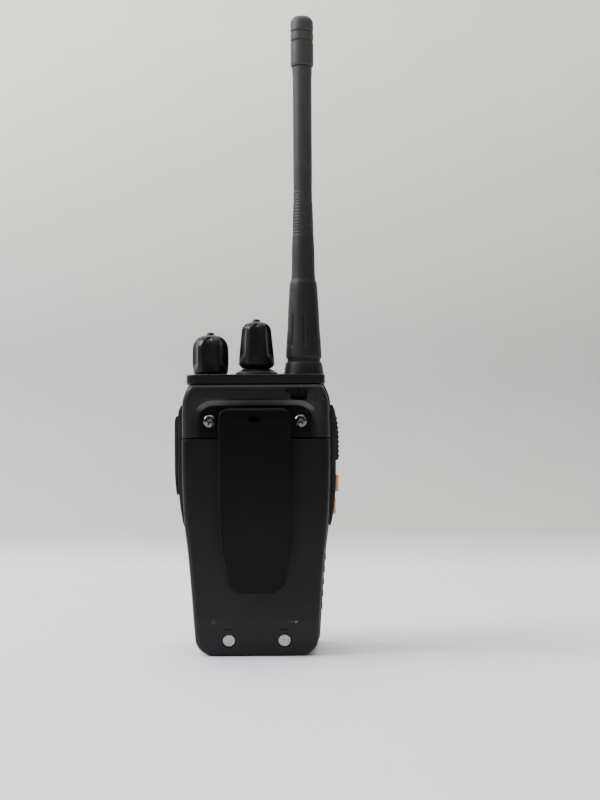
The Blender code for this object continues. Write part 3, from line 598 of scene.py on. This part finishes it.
def box(name, low, high, rounding=0.0, segments=3):
    """A block between two corners, with rounded edges."""
    shape = bmesh.new()
    bmesh.ops.create_cube(shape, size=1.0)
    low, high = Vector(low) * MM, Vector(high) * MM
    bmesh.ops.scale(shape, vec=high - low, verts=shape.verts)
    bmesh.ops.translate(shape, vec=(low + high) / 2, verts=shape.verts)
    if rounding:
        bmesh.ops.bevel(
            shape, geom=shape.edges, offset=rounding * MM, segments=segments, profile=0.5, affect="EDGES",
        )
    mesh = bpy.data.meshes.new(name)
    shape.to_mesh(mesh)
    shape.free()
    return shown(name, mesh)


def prism(name, plane, outline, span, rounding=0.0):
    """An outline of points in a plane, as thick as a span of the third axis, with rounded rims."""
    def place(a, b, c):
        return {"XZ": (a, c, b), "XY": (a, b, c), "YZ": (c, a, b)}[plane]

    if not rounding:
        return loft(name, [[place(a, b, c) for a, b in outline] for c in span])
    layers = []
    for angle in np.linspace(0, math.pi / 2, 4):
        layers.append((rounding * (1 - math.sin(angle)), span[0] + rounding * (1 - math.cos(angle))))
    layers += [(inset, span[0] + span[1] - level) for inset, level in reversed(layers)]
    return loft(name, [[place(a, b, level) for a, b in drawn_in(outline, inset)] for inset, level in layers])


def drawn_in(outline, inset):
    """An outline moved inwards by an inset, point by point."""
    if inset < 1e-6:
        return outline
    count = len(outline)
    area = sum(
        outline[i][0] * outline[(i + 1) % count][1] - outline[(i + 1) % count][0] * outline[i][1]
        for i in range(count)
    )
    sign = 1 if area > 0 else -1
    moved = []
    for i in range(count):
        point = Vector(outline[i])
        before = (point - Vector(outline[i - 1])).normalized()
        after = (Vector(outline[(i + 1) % count]) - point).normalized()
        along = (before + after).normalized()
        inward = Vector((-along.y, along.x)) * sign
        spread = max(0.4, inward.dot(Vector((-after.y, after.x)) * sign))
        moved.append(tuple(point + inward * inset / spread))
    return moved


def arc(centre, radius, start, end, steps=10):
    angles = np.radians(np.linspace(start, end, steps + 1))
    return [(centre[0] + radius * math.cos(a), centre[1] + radius * math.sin(a)) for a in angles]


def rounded_outline(corner_points, radius, steps=6):
    """A closed outline whose corners are rounded. radius is a number, or one for each corner."""
    count = len(corner_points)
    radii = radius if isinstance(radius, (list, tuple)) else [radius] * count
    outline = []
    for i, (point, reach) in enumerate(zip(corner_points, radii)):
        here = Vector(point)
        back = Vector(corner_points[i - 1]) - here
        ahead = Vector(corner_points[(i + 1) % count]) - here
        half = back.angle(ahead) / 2
        if reach < 0.01 or abs(half - math.pi / 2) < 0.01:
            outline.append(tuple(here))
            continue
        setback = min(reach / math.tan(half), back.length * 0.49, ahead.length * 0.49)
        start, end = here + back.normalized() * setback, here + ahead.normalized() * setback
        for t in np.linspace(0, 1, steps + 1):
            pull = 2 * t * (1 - t) * CORNER_PULL
            blend = start * (1 - t) ** 2 + here * pull + end * t ** 2
            outline.append(tuple(blend / ((1 - t) ** 2 + pull + t ** 2)))
    return outline


def combine(target, operation, tools):
    for tool in tools:
        modifier = target.modifiers.new(tool.name, "BOOLEAN")
        modifier.operation = operation
        modifier.object = tool
    bake(target)
    for tool in tools:
        bpy.data.objects.remove(tool)


def cut(target, *tools):
    combine(target, "DIFFERENCE", tools)


def fuse(target, *tools):
    combine(target, "UNION", tools)


def bake(obj):
    """Applies an object's modifiers."""
    bpy.context.view_layer.update()
    graph = bpy.context.evaluated_depsgraph_get()
    mesh = bpy.data.meshes.new_from_object(obj.evaluated_get(graph))
    obj.modifiers.clear()
    obj.data = mesh


def finish_edges(obj, width=0.3, angle=38, segments=2):
    """Rounds what is still sharp, and shades the rest smooth."""
    if width:
        bake_rounds(obj, width, angle, segments)
    obj.data.shade_smooth()
    obj.data.set_sharp_from_angle(angle=math.radians(CREASE))
    weighted = obj.modifiers.new("flat_faces_stay_flat", "WEIGHTED_NORMAL")
    weighted.keep_sharp = True
    return obj


def catmull(points, steps=8):
    """A smooth line through points."""
    ends = [points[0], *points, points[-1]]
    line = []
    for i in range(1, len(ends) - 2):
        p0, p1, p2, p3 = (np.array(p, float) for p in ends[i - 1:i + 3])
        for t in np.arange(steps) / steps:
            line.append(0.5 * (2 * p1 + (p2 - p0) * t + (2 * p0 - 5 * p1 + 4 * p2 - p3) * t ** 2
                               + (3 * p1 - p0 - 3 * p2 + p3) * t ** 3))
    line.append(np.array(points[-1], float))
    return np.array(line)


SIDE_CURVE = catmull(SIDE_LINE)


def side(z):
    return float(np.interp(z, SIDE_CURVE[:, 0], SIDE_CURVE[:, 1]))


def corner_drop(distance, radius, tall=None):
    """How far a round corner draws in at a distance from its end. With tall it is a long soft one."""
    if distance >= (tall or radius):
        return 0.0
    if tall:
        return radius * (1 - distance / tall) ** 1.7
    return radius * (1 - math.sqrt(max(0.0, 1 - (1 - distance / radius) ** 2)))


def levels(low, high, bottom_round, top_round, step=4.0, extra=()):
    """Heights for a loft: close together in its rounded ends."""
    lower = [low + bottom_round * (1 - math.cos(a)) for a in np.linspace(0, math.pi / 2, 10)]
    upper = [high - top_round * (1 - math.cos(a)) for a in np.linspace(0, math.pi / 2, 10)]
    middle = list(np.arange(lower[-1] + step, upper[-1] - step / 2, step))
    return sorted({round(z, 5) for z in (*lower, *upper, *middle, *extra)})


def body_shell(
    name, span, depth, inset, rims, ends, base=BASE_CORNER, shoulder=SHOULDER_CORNER, extra=(), back_at=None,
):
    """A solid with the body's side line between two heights and two depths.

    rims are the roundings along its front and back sides. ends are those of its back, bottom and top.
    """
    (low, high), (front, back) = span, depth
    front_rim, back_rim = rims
    tall = shoulder * SHOULDER_STRETCH
    rings = []
    for z in levels(low, high, max(base, front_rim), max(tall, front_rim), extra=extra):
        half = side(max(z, low + base)) - inset
        half -= corner_drop(z - low, base) + corner_drop(high - z, shoulder, tall)
        y0 = front + corner_drop(min(z - low, high - z), front_rim)
        y1 = back_at(z) if back_at else back
        y1 -= corner_drop(z - low, ends[0]) + corner_drop(high - z, ends[1])
        r0 = min(front_rim, (y1 - y0) * 0.6)
        r1 = min(back_rim, (y1 - y0) * 0.35)
        ring = [*arc((half - r0, y0 + r0), r0, -90, 0, 7), *arc((half - r1, y1 - r1), r1, 0, 90, 7)]
        ring += [(-x, y) for x, y in reversed(ring)]
        rings.append([(x, y, z) for x, y in ring])
    return loft(name, rings)


def rod(name, radius, start, end, steps=32):
    """A plain cylinder between two points."""
    axis = Vector(end) - Vector(start)
    return turned(name, [(0, axis.length), (radius, axis.length), (radius, 0), (0, 0)], start, steps, axis)


def bake_rounds(obj, width, angle=40, segments=3):
    """Rounds the sharp edges of a piece for good."""
    add_rounds(obj, width, angle, segments)
    bake(obj)


# ---- casings

def lower_back(z):
    """How far back the battery reaches at a height: its lower end slopes in."""
    return PACK_BACK - FACET_DEPTH * max(0.0, FACET_TOP - z) / FACET_TOP


def top_wells(radius, socket, low, high):
    """Cutters for the controls, the antenna and the two lenses."""
    for x, reach in ((VOLUME_X, radius), (CHANNEL_X, radius), (ANTENNA_X, socket)):
        yield rod("well", reach, (x, CONTROL_Y, low), (x, CONTROL_Y, high), 64)
    yield rod("lens_well", 2.3, (*LENS, low), (*LENS, high), 32)
    yield rod("status_well", 1.4, (*STATUS, low), (*STATUS, high), 24)


def speaker_slots():
    """Seven round-ended slots that follow the speaker's circle."""
    radius, pitch, half_height = 15.5, 3.9, 0.85
    for i in range(-3, 4):
        half = math.sqrt(radius ** 2 - (i * pitch) ** 2)
        z = SPEAKER_Z + i * pitch
        outline = [*arc((half, z), half_height, -90, 90), *arc((-half, z), half_height, 90, 270)]
        yield prism("speaker_slot", "XZ", outline, (FRONT_FACE - 3, FRONT_FACE + 4))


def front_case():
    """The front half: hollow, with a speaker field, a plate above it and grip ridges low on its sides."""
    depth = FRONT_FACE, PLATE_FRONT - SEAM
    shell = body_shell("case_front_shell", (0, BODY_TOP), depth, 0, (3.5, 0.6), (0.4, 0.4))
    grips = []
    for z in np.arange(18.2, 41.0, 5.2):
        for turn in (-1, 1):
            low, high = sorted((turn * (side(z) - 1.2), turn * (side(z) + 0.35)))
            grips.append(box("grip", (low, -16.6, z - 1.5), (high, -3.4, z + 1.5), 0.5))
    fuse(shell, *grips)
    grille = rounded_outline([(-21, 33), (21, 33), (22.5, 71), (-22.5, 71)], 5)
    plate = rounded_outline([(-23, 76), (23, 76), (23, 105), (-23, 105)], 5)
    span, depth = (WALL, BODY_TOP - WALL), (FRONT_FACE + WALL, 5)
    cut(
        shell,
        body_shell("hollow", span, depth, WALL, (1.5, 0.3), (0.2, 0.2), 4.5, 2.5),
        prism("grille_field", "XZ", grille, (FRONT_FACE - 3, FRONT_FACE + 0.5)),
        prism("plate_field", "XZ", plate, (FRONT_FACE - 3, FRONT_FACE + 0.35)),
        *speaker_slots(),
        rod("sound_hole", 0.8, (-11, -23, 15), (-11, -15, 15), 24),
        box("jack_window", (28, SIDE_Y - 3.8, 72.5), (33, SIDE_Y + 3.7, 91.5)),
        box("latch_slot", (-7.4, -11.6, -1), (7.4, -1.8, 2.5)),
        *top_wells(3.9, 3.3, 108, 114),
    )
    for z in (84.0, 69.5, 60.0):
        cut(shell, rod("key_hole", 1.9, (-35, SIDE_Y, z), (-26, SIDE_Y, z)))
    piece(finish_edges(shell, 0.2), "moulded_black", "root", "front_case")


def rear_chassis():
    """The cast plate and its head: clip recess with a sloping border, strap slot and battery seat."""
    span, depth = (PLATE_LOW, HEAD_TOP), (PLATE_FRONT, HEAD_BACK)
    shell = body_shell("chassis_casting", span, depth, REAR_INSET, (0.3, 3.0), (0.3, 1.9))
    inner = rounded_outline([(-23.6, 80), (23.6, 80), (23.6, 102.9), (-23.6, 102.9)], [0, 0, 7.5, 7.5], 8)
    outer = rounded_outline([(-26.2, 80), (26.2, 80), (26.2, 105.9), (-26.2, 105.9)], [0, 0, 9.5, 9.5], 8)
    sections = (
        (inner, RECESS_FLOOR), (inner, RECESS_FLOOR + 0.9), (outer, HEAD_BACK + 0.1), (outer, HEAD_BACK + 9),
    )
    recess = loft("clip_recess", [[(x, y, z) for x, z in outline] for outline, y in sections])
    pocket = rounded_outline([(-21.2, 105), (-14.5, 105), (-14.5, 110.2), (-21.2, 110.2)], 1.2)
    mouth = rounded_outline([(-22.1, 108.2), (-12.3, 108.2), (-12.3, 110.2), (-22.1, 110.2)], 0.6)
    cut(
        shell,
        box("battery_bay", (-40, PLATE_BACK, -5), (40, 30, HEAD_BOTTOM)),
        recess,
        box("tongue_slot", (-12.5, 4.8, 85), (12.5, 8.6, 92.8)),
        box("terminal_window", (-8.3, -3, 79.7), (8.3, 5, 88.3)),
        box("latch_window", (-4.2, -3, 3.7), (4.2, 5, 7.3)),
        prism("strap_pocket", "XZ", pocket, (6.7, 30)),
        prism("strap_mouth", "XZ", mouth, (10.2, 30)),
    )
    for turn in (-1, 1):
        low, high = sorted((turn * (RAIL_X - 1.5), turn * (RAIL_X + 1.5)))
        screw_x = turn * CLIP_SCREW_X
        cut(
            shell,
            box("rail_groove", (low, 0.6, 7.4), (high, 5, 80.6)),
            rod("screw_seat", 2.9, (turn * 17.5, 0.5, 10), (turn * 17.5, 5, 10)),
            rod("clip_hole", 1.5, (screw_x, 3, CLIP_SCREW_Z), (screw_x, 15, CLIP_SCREW_Z)),
        )
    fuse(shell, rod("strap_post", 0.5, (-17.8, 7.0, 104.6), (-17.8, 7.0, 110.8), 24))
    piece(finish_edges(shell, 0.25), "painted_casting", "root", "rear_chassis")


def battery_case():
    """The battery's back, with the sloping lower end, two contact wells and the dashes above them."""
    shell = body_shell(
        "battery_back", (0, PACK_TOP), (PACK_FRONT, PACK_BACK), REAR_INSET, (0.3, 2.6), (1.1, 0.35),
        shoulder=0.3, extra=(FACET_TOP - 0.6, FACET_TOP, FACET_TOP + 0.6), back_at=lower_back,
    )
    hollow = body_shell(
        "pack_hollow", (1.6, 87.8), (1, PACK_BACK), 2.2, (0.3, 0.3), (0.1, 0.1), 4.5, 0.3,
        back_at=lambda z: lower_back(z) - 1.3,
    )
    fuse(shell, box("pack_tongue", (-12, 5.2, 87.5), (12, 8.2, 92.2), 0.3))
    cut(shell, hollow)
    for turn in (-1, 1):
        middle, normal = contact_place(turn)
        dash, outward = lower_back(11.5), turn * CONTACT_X
        cut(
            shell,
            rod("contact_well", 2.95, middle - normal * 4, middle + normal * 4, 48),
            box("dash", (outward - 1.5, dash - 0.4, 11.2), (outward + 1.5, dash + 2, 11.8)),
        )
    piece(finish_edges(shell, 0.15, angle=28), "battery_black", "battery", "battery_case")


def battery_lid():
    """The battery's inner face, with its two rails and the pockets for terminals and latch."""
    depth = LID_PLATE_FRONT, LID_BACK
    shell = body_shell(
        "battery_inner_face", (0, PACK_TOP), depth, REAR_INSET, (0.3, 0.3), (0.3, 0.3), shoulder=0.3,
    )
    for turn in (-1, 1):
        low, high = sorted((turn * (RAIL_X - 1.1), turn * (RAIL_X + 1.1)))
        fuse(shell, box("rail", (low, LID_FRONT, 20), (high, 2.8, 80), 0.3))
        cut(shell, box("terminal_pocket", (turn * 4.5 - 2.1, 1.5, 81), (turn * 4.5 + 2.1, 3.1, 87)))
    cut(shell, box("tooth_pocket", (-4.2, 1, 3.7), (4.2, 5, 7.3)))
    piece(finish_edges(shell, 0.15), "moulded_black", "battery", "battery_lid")


def contact_place(turn):
    """The middle of one charging contact on the sloping face, and the face's outward direction."""
    return (
        Vector((turn * CONTACT_X, lower_back(CONTACT_Z), CONTACT_Z)),
        Vector((0, FACET_TOP, -FACET_DEPTH)).normalized(),
    )


def charge_contacts():
    profile = [(0, -0.22), (1.6, -0.2), (2.1, -0.16), (2.4, -0.2), (2.58, -0.32), (2.65, -0.5), (2.65, -2.1),
               (0, -2.1)]
    for name, turn in (("left", 1), ("right", -1)):
        middle, normal = contact_place(turn)
        disc = turned("contact_disc_" + name, profile, middle, 64, normal)
        piece(finish_edges(disc, 0), "nickel", "battery", "charge_contact_" + name)


# ---- top

def top_panel():
    """The platform with the antenna's collar."""
    outline = rounded_outline([(-28.7, -18.2), (28.7, -18.2), (28.7, 9.0), (-28.7, 9.0)], 7.0, 10)
    platform = prism("top_platform", "XY", outline, (PANEL_LOW, PANEL_TOP), 0.5)
    skirt = rounded_outline([(-28.72, -0.2), (28.72, -0.2), (28.72, 9.02), (-28.72, 9.02)], [0, 0, 7, 7], 10)
    fuse(platform, prism("skirt", "XY", skirt, (HEAD_TOP + 0.05, PANEL_TOP - 0.03), 0.7))
    collar = [(0, COLLAR_TOP), (6.7, COLLAR_TOP), (7.1, 121.2), (7.5, 120.9), (7.75, 120.3), (8.1, 118.4),
              (8.35, 116.8), (8.5, 116.2), (8.65, 115.4), (8.65, 113), (0, 113)]
    fuse(platform, turned("collar", collar, (ANTENNA_X, CONTROL_Y, 0), 96))
    cut(platform, *top_wells(5.9, 5.0, 110, 125))
    piece(finish_edges(platform, 0.15), "polished_black", "root", "top_panel")


def channel_dial():
    """The sloping ring under the channel knob, with 16 small notches."""
    profile = [(4.0, 118.25), (5.9, 118.25), (6.2, 118.1), (8.6, 116.8), (8.9, 116.55), (9.0, 116.1),
               (4.0, 116.1)]
    dial = turned("channel_dial", profile, (CHANNEL_X, CONTROL_Y, 0), 96)
    notches = []
    for i in range(CHANNELS):
        angle = 2 * math.pi * i / CHANNELS
        out = Vector((math.cos(angle), math.sin(angle), 0))
        start = Vector((CHANNEL_X, CONTROL_Y, 118.0)) + out * 6.5
        notches.append(rod("notch", 0.35, start, start + out * 1.7 - Vector((0, 0, 0.8)), 8))
    cut(dial, *notches)
    piece(finish_edges(dial, 0), "moulded_black", "root", "channel_dial_ring")


def fine_line(points, step):
    """The points of a line with more put in between, at most a step apart."""
    line = [points[0]]
    for start, end in zip(np.array(points), np.array(points[1:])):
        count = max(1, math.ceil(math.dist(start, end) / step))
        line += [tuple(start + (end - start) * i / count) for i in range(1, count + 1)]
    return line


def scallops(first, top, bottom, depth, half_width):
    """A radius function for six hollows with arched tops, whose first one is at an angle in degrees."""
    rise = 3.6

    def radius_at(radius, height, angle):
        if radius < 4.5:
            return radius
        offset = (math.degrees(angle) - first + 30) % 60 - 30
        above = max(0.0, height - (top - rise)) / rise
        reach = half_width * math.sqrt(max(0.0, 1 - above ** 2))
        if reach < 1 or height < bottom:
            return radius
        fade = min(1.0, (height - bottom) / 3.5)
        return radius - depth * fade * max(0.0, 1 - (offset / reach) ** 2)
    return radius_at


def knob(name, x, outside, bore, radius_at):
    """A fluted knob: the outer line from its top down, then the blind bore for its shaft."""
    smooth = [(max(0.0, r), z) for r, z in catmull(outside, 5)]
    profile = [*fine_line(smooth, 0.35), *bore]
    return finish_edges(turned(name, profile, (x, CONTROL_Y, 0), 180, radius_at=radius_at), 0)


def knobs():
    nub = [(0, 133.9), (0.9, 133.85), (1.5, 133.5), (1.75, 132.85), (2.6, 132.6), (4.4, 132.0), (5.9, 130.9),
           (6.95, 129.3), (7.45, 127.6), (7.6, 125), (7.6, 121), (7.45, 118.0), (7.25, 116.8), (6.8, 116.2)]
    bore = [(3.2, 116.2), (3.2, 128.3), (0, 128.3)]
    made = knob("volume_grip", VOLUME_X, nub, bore, scallops(88, 131.6, 117.2, 0.95, 22))
    piece(made, "polished_black", "volume_control", "volume_knob")
    nub = [(0, 139.4), (0.9, 139.35), (1.5, 139.0), (1.75, 138.35), (2.6, 138.1), (4.2, 137.5), (5.4, 136.5),
           (6.1, 135.2), (6.5, 132), (7.0, 127), (7.5, 122.0), (7.65, 120.6), (7.5, 120.0), (6.8, 119.1),
           (5.9, 118.45)]
    bore = [(5.6, 118.4), (3.2, 118.4), (3.2, 133.0), (0, 133.0)]
    made = knob("channel_grip", CHANNEL_X, nub, bore, scallops(90, 137.2, 121.0, 0.95, 22))
    piece(made, "polished_black", "channel_control", "channel_knob")


def lenses():
    dome = [(0, 118.7), (0.7, 118.62), (1.3, 118.35), (1.9, 117.75), (2.3, 117.0), (2.4, 116.5), (2.4, 116.1),
            (2.0, 116.1), (2.0, 109), (0, 109)]
    lens = turned("flashlight_dome", dome, (*LENS, 0), 48)
    piece(finish_edges(lens, 0), "clear_plastic", "root", "flashlight_lens")
    dot = [(0, 116.3), (0.8, 116.25), (1.05, 116.05), (1.1, 115.8), (1.1, 108), (0, 108)]
    pipe = turned("status_dot", dot, (*STATUS, 0), 32)
    piece(finish_edges(pipe, 0), "clear_plastic", "root", "status_light_pipe")


# ---- antenna

def antenna_line():
    """The sleeve's outer line from its shoulder under the cap down to its foot."""
    waist = catmull([(4.0, 241), (4.0, 193.6), (4.15, 188), (4.42, 181), (4.5, 175), (4.75, 170), (4.85, 165),
                     (4.9, 160), (5.1, 156.3)], 6)
    foot = catmull([(5.3, 155.6), (5.7, 154.4), (5.95, 152), (6.1, 149.3), (6.5, 143), (6.75, 136.7),
                    (7.2, 130.3), (7.55, 124.2), (7.5, 123.2), (7.4, 122.5)], 6)
    return [(float(r), float(z)) for r, z in (*waist, *foot)]


def antenna_relief(radius, height, angle):
    """Fine rings on the waist, and eight narrow grooves up the foot."""
    if radius < 3.9:
        return radius
    if 174.5 < height < 194:
        radius -= 0.12 * (0.5 - 0.5 * math.cos(2 * math.pi * (height - 174.5) / 1.3))
    if 127.2 < height < 141.2 and radius > 6:
        offset = (math.degrees(angle) - 92 + 22.5) % 45 - 22.5
        ends = min(1.0, (height - 127.2) / 0.8, (141.2 - height) / 0.8)
        radius -= 0.42 * ends * max(0.0, 1 - (offset / 4.2) ** 2)
    return radius


def antenna():
    at = (ANTENNA_X, CONTROL_Y, 0)
    ring = [(4.9, 122.45), (6.9, 122.45), (7.05, 121.9), (6.9, 121.35), (4.9, 121.35)]
    seal = turned("collar_seal", ring, at, 96)
    piece(finish_edges(seal, 0), "black_rubber", "antenna_seal", "antenna_gasket")
    spigot = [(0, 262), (3.0, 262), (3.3, 261.6), (3.3, 246.0), (3.95, 246.0), (4.2, 245.8), (4.2, 243.6)]
    inside = [(4.8, 122.5), (4.8, 126.6), (3.0, 130), (3.0, 166), (1.0, 170), (1.0, 240), (0, 241)]
    line = []
    for start, end in zip(antenna_line(), antenna_line()[1:]):
        step = 0.22 if 174 < start[1] < 194.5 else 0.8 if 126 < start[1] < 142 else 8
        line += fine_line([start, end], step)[:-1]
    profile = [*spigot, *line, (7.4, 122.5), *inside]
    sleeve = turned("antenna_sleeve", profile, at, 200, radius_at=antenna_relief)
    piece(finish_edges(sleeve, 0), "antenna_rubber", "antenna", "antenna_sheath")
    groove = [(4.85, 0.55), (4.3, 0.1), (4.3, -0.1), (4.85, -0.55)]
    rings = [(r, 260.8 + z) for r, z in groove] + [(r, 256.9 + z) for r, z in groove]
    outside = [(0, 267.2), (2.9, 267.15), (3.5, 267.0), (4.2, 266.3), (4.7, 265.4), (4.85, 264.6)]
    hollow = [(4.85, 247.1), (4.7, 246.6), (4.5, 246.3), (3.6, 246.3), (3.6, 262.3), (0, 262.3)]
    cap = turned("antenna_tip", [*outside, *rings, *hollow], at, 96)
    piece(finish_edges(cap, 0), "antenna_rubber", "antenna", "antenna_cap")


# ---- sides

def side_bezel(name, turn, *openings):
    """The raised trim on one side, with its openings."""
    inner = [(side(z) + 0.25, z) for z in (103, 90, 72, 62, 54, 52)]
    outer = [(30.9, 52), (31.5, 54.2), (32.4, 60), (33.1, 67), (33.3, 72), (33.3, 98), (32.9, 100.8),
             (31.9, 103)]
    outline = [(turn * x, z) for x, z in (*inner, *outer)]
    bezel = prism(name, "XZ", outline, (SIDE_Y - 7, SIDE_Y + 7))
    cut(bezel, *openings)
    finish_edges(bezel, 0.5, angle=50, segments=3)
    return bezel


def side_trims():
    """The trims of both sides, open for the talk button, the two keys and the sockets."""
    openings = [box("talk_opening", (-36, SIDE_Y - 5.5, 79.1), (-30, SIDE_Y + 5.5, 100.1), 0.3)]
    for low, high in (UPPER_KEY, LOWER_KEY):
        near, far = (-36, SIDE_Y - 3.9, low - 0.4), (-29, SIDE_Y + 3.9, high + 0.4)
        openings.append(box("key_opening", near, far, 0.3))
    piece(side_bezel("talk_side_trim", -1, *openings), "moulded_black", "root", "ptt_bezel")
    opening = box("jack_opening", (30, SIDE_Y - 4.2, 71), (36, SIDE_Y + 4.2, 93), 0.3)
    piece(side_bezel("jack_side_trim", 1, opening), "moulded_black", "root", "jack_bezel")


def talk_button():
    """The ribbed talk button."""
    face = [(-32.5, 79.5), (-34.0, 79.5), (-34.4, 80.0), (-34.4, 90), (-34.0, 95), (-33.3, 99.1),
            (-33.0, 99.6), (-32.5, 99.6)]
    button = prism("talk_button_cap", "XZ", face, (SIDE_Y - 5.2, SIDE_Y + 5.2))
    bake_rounds(button, 0.35)
    ribs = []
    for i in range(9):
        z = 81.2 + 2.0 * i
        x = float(np.interp(z, (80, 90, 95, 99), (-34.15, -34.15, -33.75, -33.05)))
        ribs.append(rod("rib", 0.65, (x, SIDE_Y - 4.2, z), (x, SIDE_Y + 4.2, z), 20))
    fuse(button, *ribs)
    piece(finish_edges(button, 0.12, angle=45), "black_rubber", "talk_button", "ptt_button")


def side_keys():
    for name, body, low, high, outer, inner in (
        ("upper", "upper_key", *UPPER_KEY, 34.6, 31.9), ("lower", "lower_key", *LOWER_KEY, 33.4, 31.5),
    ):
        z = (low + high) / 2
        key = box(f"{name}_key_cap", (-outer, SIDE_Y - 3.5, low), (-inner, SIDE_Y + 3.5, high), 0.75, 5)
        dish = rod("dish", 26, (-outer - 25.75, SIDE_Y - 9, z), (-outer - 25.75, SIDE_Y + 9, z), 128)
        cut(key, dish)
        fuse(key, rod("stem", 1.5, (-inner - 0.5, SIDE_Y, z), (-27.6, SIDE_Y, z), 32))
        piece(finish_edges(key, 0), "orange_key", body, f"side_key_{name}")


def jack_cover():
    """The rubber flap with its two plugs, a pull tab and a shallow field."""
    flap = [(33.55, 65), (33.9, 65.1), (34.15, 66.5), (34.45, 69), (34.7, 72.5), (34.8, 76), (34.8, 95),
            (34.6, 97.2), (34.1, 98.4), (33.6, 98.5)]
    cover = prism("accessory_flap", "XZ", flap, (SIDE_Y - 5.6, SIDE_Y + 5.6))
    bake_rounds(cover, 0.35)
    field = rounded_outline([(-13.6, 71), (-6.4, 71), (-6.4, 94), (-13.6, 94)], 2.0)
    cut(cover, prism("field", "YZ", field, (34.55, 36)))
    fuse(
        cover,
        rod("large_plug", 1.6, (29.4, SIDE_Y, 87), (34.1, SIDE_Y, 87), 32),
        rod("small_plug", 1.2, (29.4, SIDE_Y, 78), (34.1, SIDE_Y, 78), 32),
    )
    piece(finish_edges(cover, 0.12, angle=45), "black_rubber", "accessory_cover", "jack_cover")


# ---- belt clip

def clip_lever():
    """The tongue as sections up its height, with two ears for the pin and the oval hole over it."""
    low, high, corner, half_top = 26.4, 101.8, 3.9, 14.6
    widths = catmull([(30.2, 11.25), (34.5, 11.6), (39, 12.7), (46, 14.1), (54, 14.5), (62, half_top)], 6)
    depths = catmull([(low, 15.3), (30, 15.5), (36, 16.5), (45, 18.3), (60, 19.8), (80, 20.35), (92, 20.5),
                      (97, 20.5), (99.5, 20.2), (high, 19.3)], 6)

    def half_width(z):
        if z < 30.2:
            t = (z - low) / (30.2 - low)
            return 6.4 + 4.85 * math.sin(t * math.pi / 2) ** 0.8
        if z > high - corner:
            return half_top - corner + math.sqrt(max(0.0, corner ** 2 - (z - high + corner) ** 2))
        return float(np.interp(z, widths[:, 0], widths[:, 1]))

    thickness, outer_round, inner_round = 2.2, 0.8, 0.35
    rings = []
    for z in levels(low, high, 3.8, corner, step=3.0):
        half = half_width(z)
        back = float(np.interp(z, depths[:, 0], depths[:, 1]))
        y1 = back - corner_drop(min(z - low, high - z), outer_round)
        y0 = back - thickness + corner_drop(min(z - low, high - z), inner_round)
        ring = [*arc((half - inner_round, y0 + inner_round), inner_round, -90, 0, 3),
                *arc((half - outer_round, y1 - outer_round), outer_round, 0, 90, 5)]
        ring += [(-x, y) for x, y in reversed(ring)]
        rings.append([(x, y, z) for x, y in ring])
    lever = loft("clip_tongue", rings)
    ears = []
    for turn in (-1, 1):
        a, b = sorted((turn * 11.3, turn * 13.3))
        ears.append(box("ear", (a, 13.6, 91.3), (b, 19, 95.7), 0.4))
    fuse(lever, *ears)
    hole = [*arc((1.2, 97.4), 1.2, -90, 90), *arc((-1.2, 97.4), 1.2, 90, 270)]
    cut(
        lever,
        rod("ear_bore", 1.2, (-15, CLIP_PIVOT_Y, CLIP_PIVOT_Z), (15, CLIP_PIVOT_Y, CLIP_PIVOT_Z)),
        prism("oval_hole", "XZ", hole, (10, 30)),
    )
    piece(finish_edges(lever, 0.2, angle=45), "satin_black", "belt_clip", "clip_lever")


def clip_screws():
    """Pan heads with a cross recess, set at slightly different turns."""
    dome = [(0, 1.5), (1.0, 1.46), (1.9, 1.25), (2.5, 0.85), (2.8, 0.4), (2.85, 0.1), (2.85, 0), (1.2, 0),
            (1.2, -8.6), (0, -8.6)]
    seat = 12.3
    for name, turn, angle in (("left", 1, 20), ("right", -1, 52)):
        x, z = turn * CLIP_SCREW_X, CLIP_SCREW_Z
        head = turned("pan_head_" + name, dome, (x, seat, z), 64, (0, 1, 0))
        arms = []
        for spin in (angle, angle + 90):
            c, s = math.cos(math.radians(spin)), math.sin(math.radians(spin))
            near = [(-1.0, -0.28), (1.0, -0.28), (1.0, 0.28), (-1.0, 0.28)]
            far = [(a * 1.75, b * 1.5) for a, b in near]
            arms.append(loft("arm", [
                [(x + a * c - b * s, y, z + a * s + b * c) for a, b in shape]
                for shape, y in ((near, seat + 0.3), (far, seat + 1.9))
            ]))
        cut(head, *arms)
        piece(finish_edges(head, 0.06, angle=40), "screw_steel", "root", "clip_screw_" + name)


# ---- the whole radio

camera()
stage()
lights()
dress_cad_nodes()
front_case()
rear_chassis()
top_panel()
channel_dial()
knobs()
lenses()
antenna()
side_trims()
talk_button()
side_keys()
jack_cover()
clip_lever()
clip_screws()
battery_case()
battery_lid()
charge_contacts()
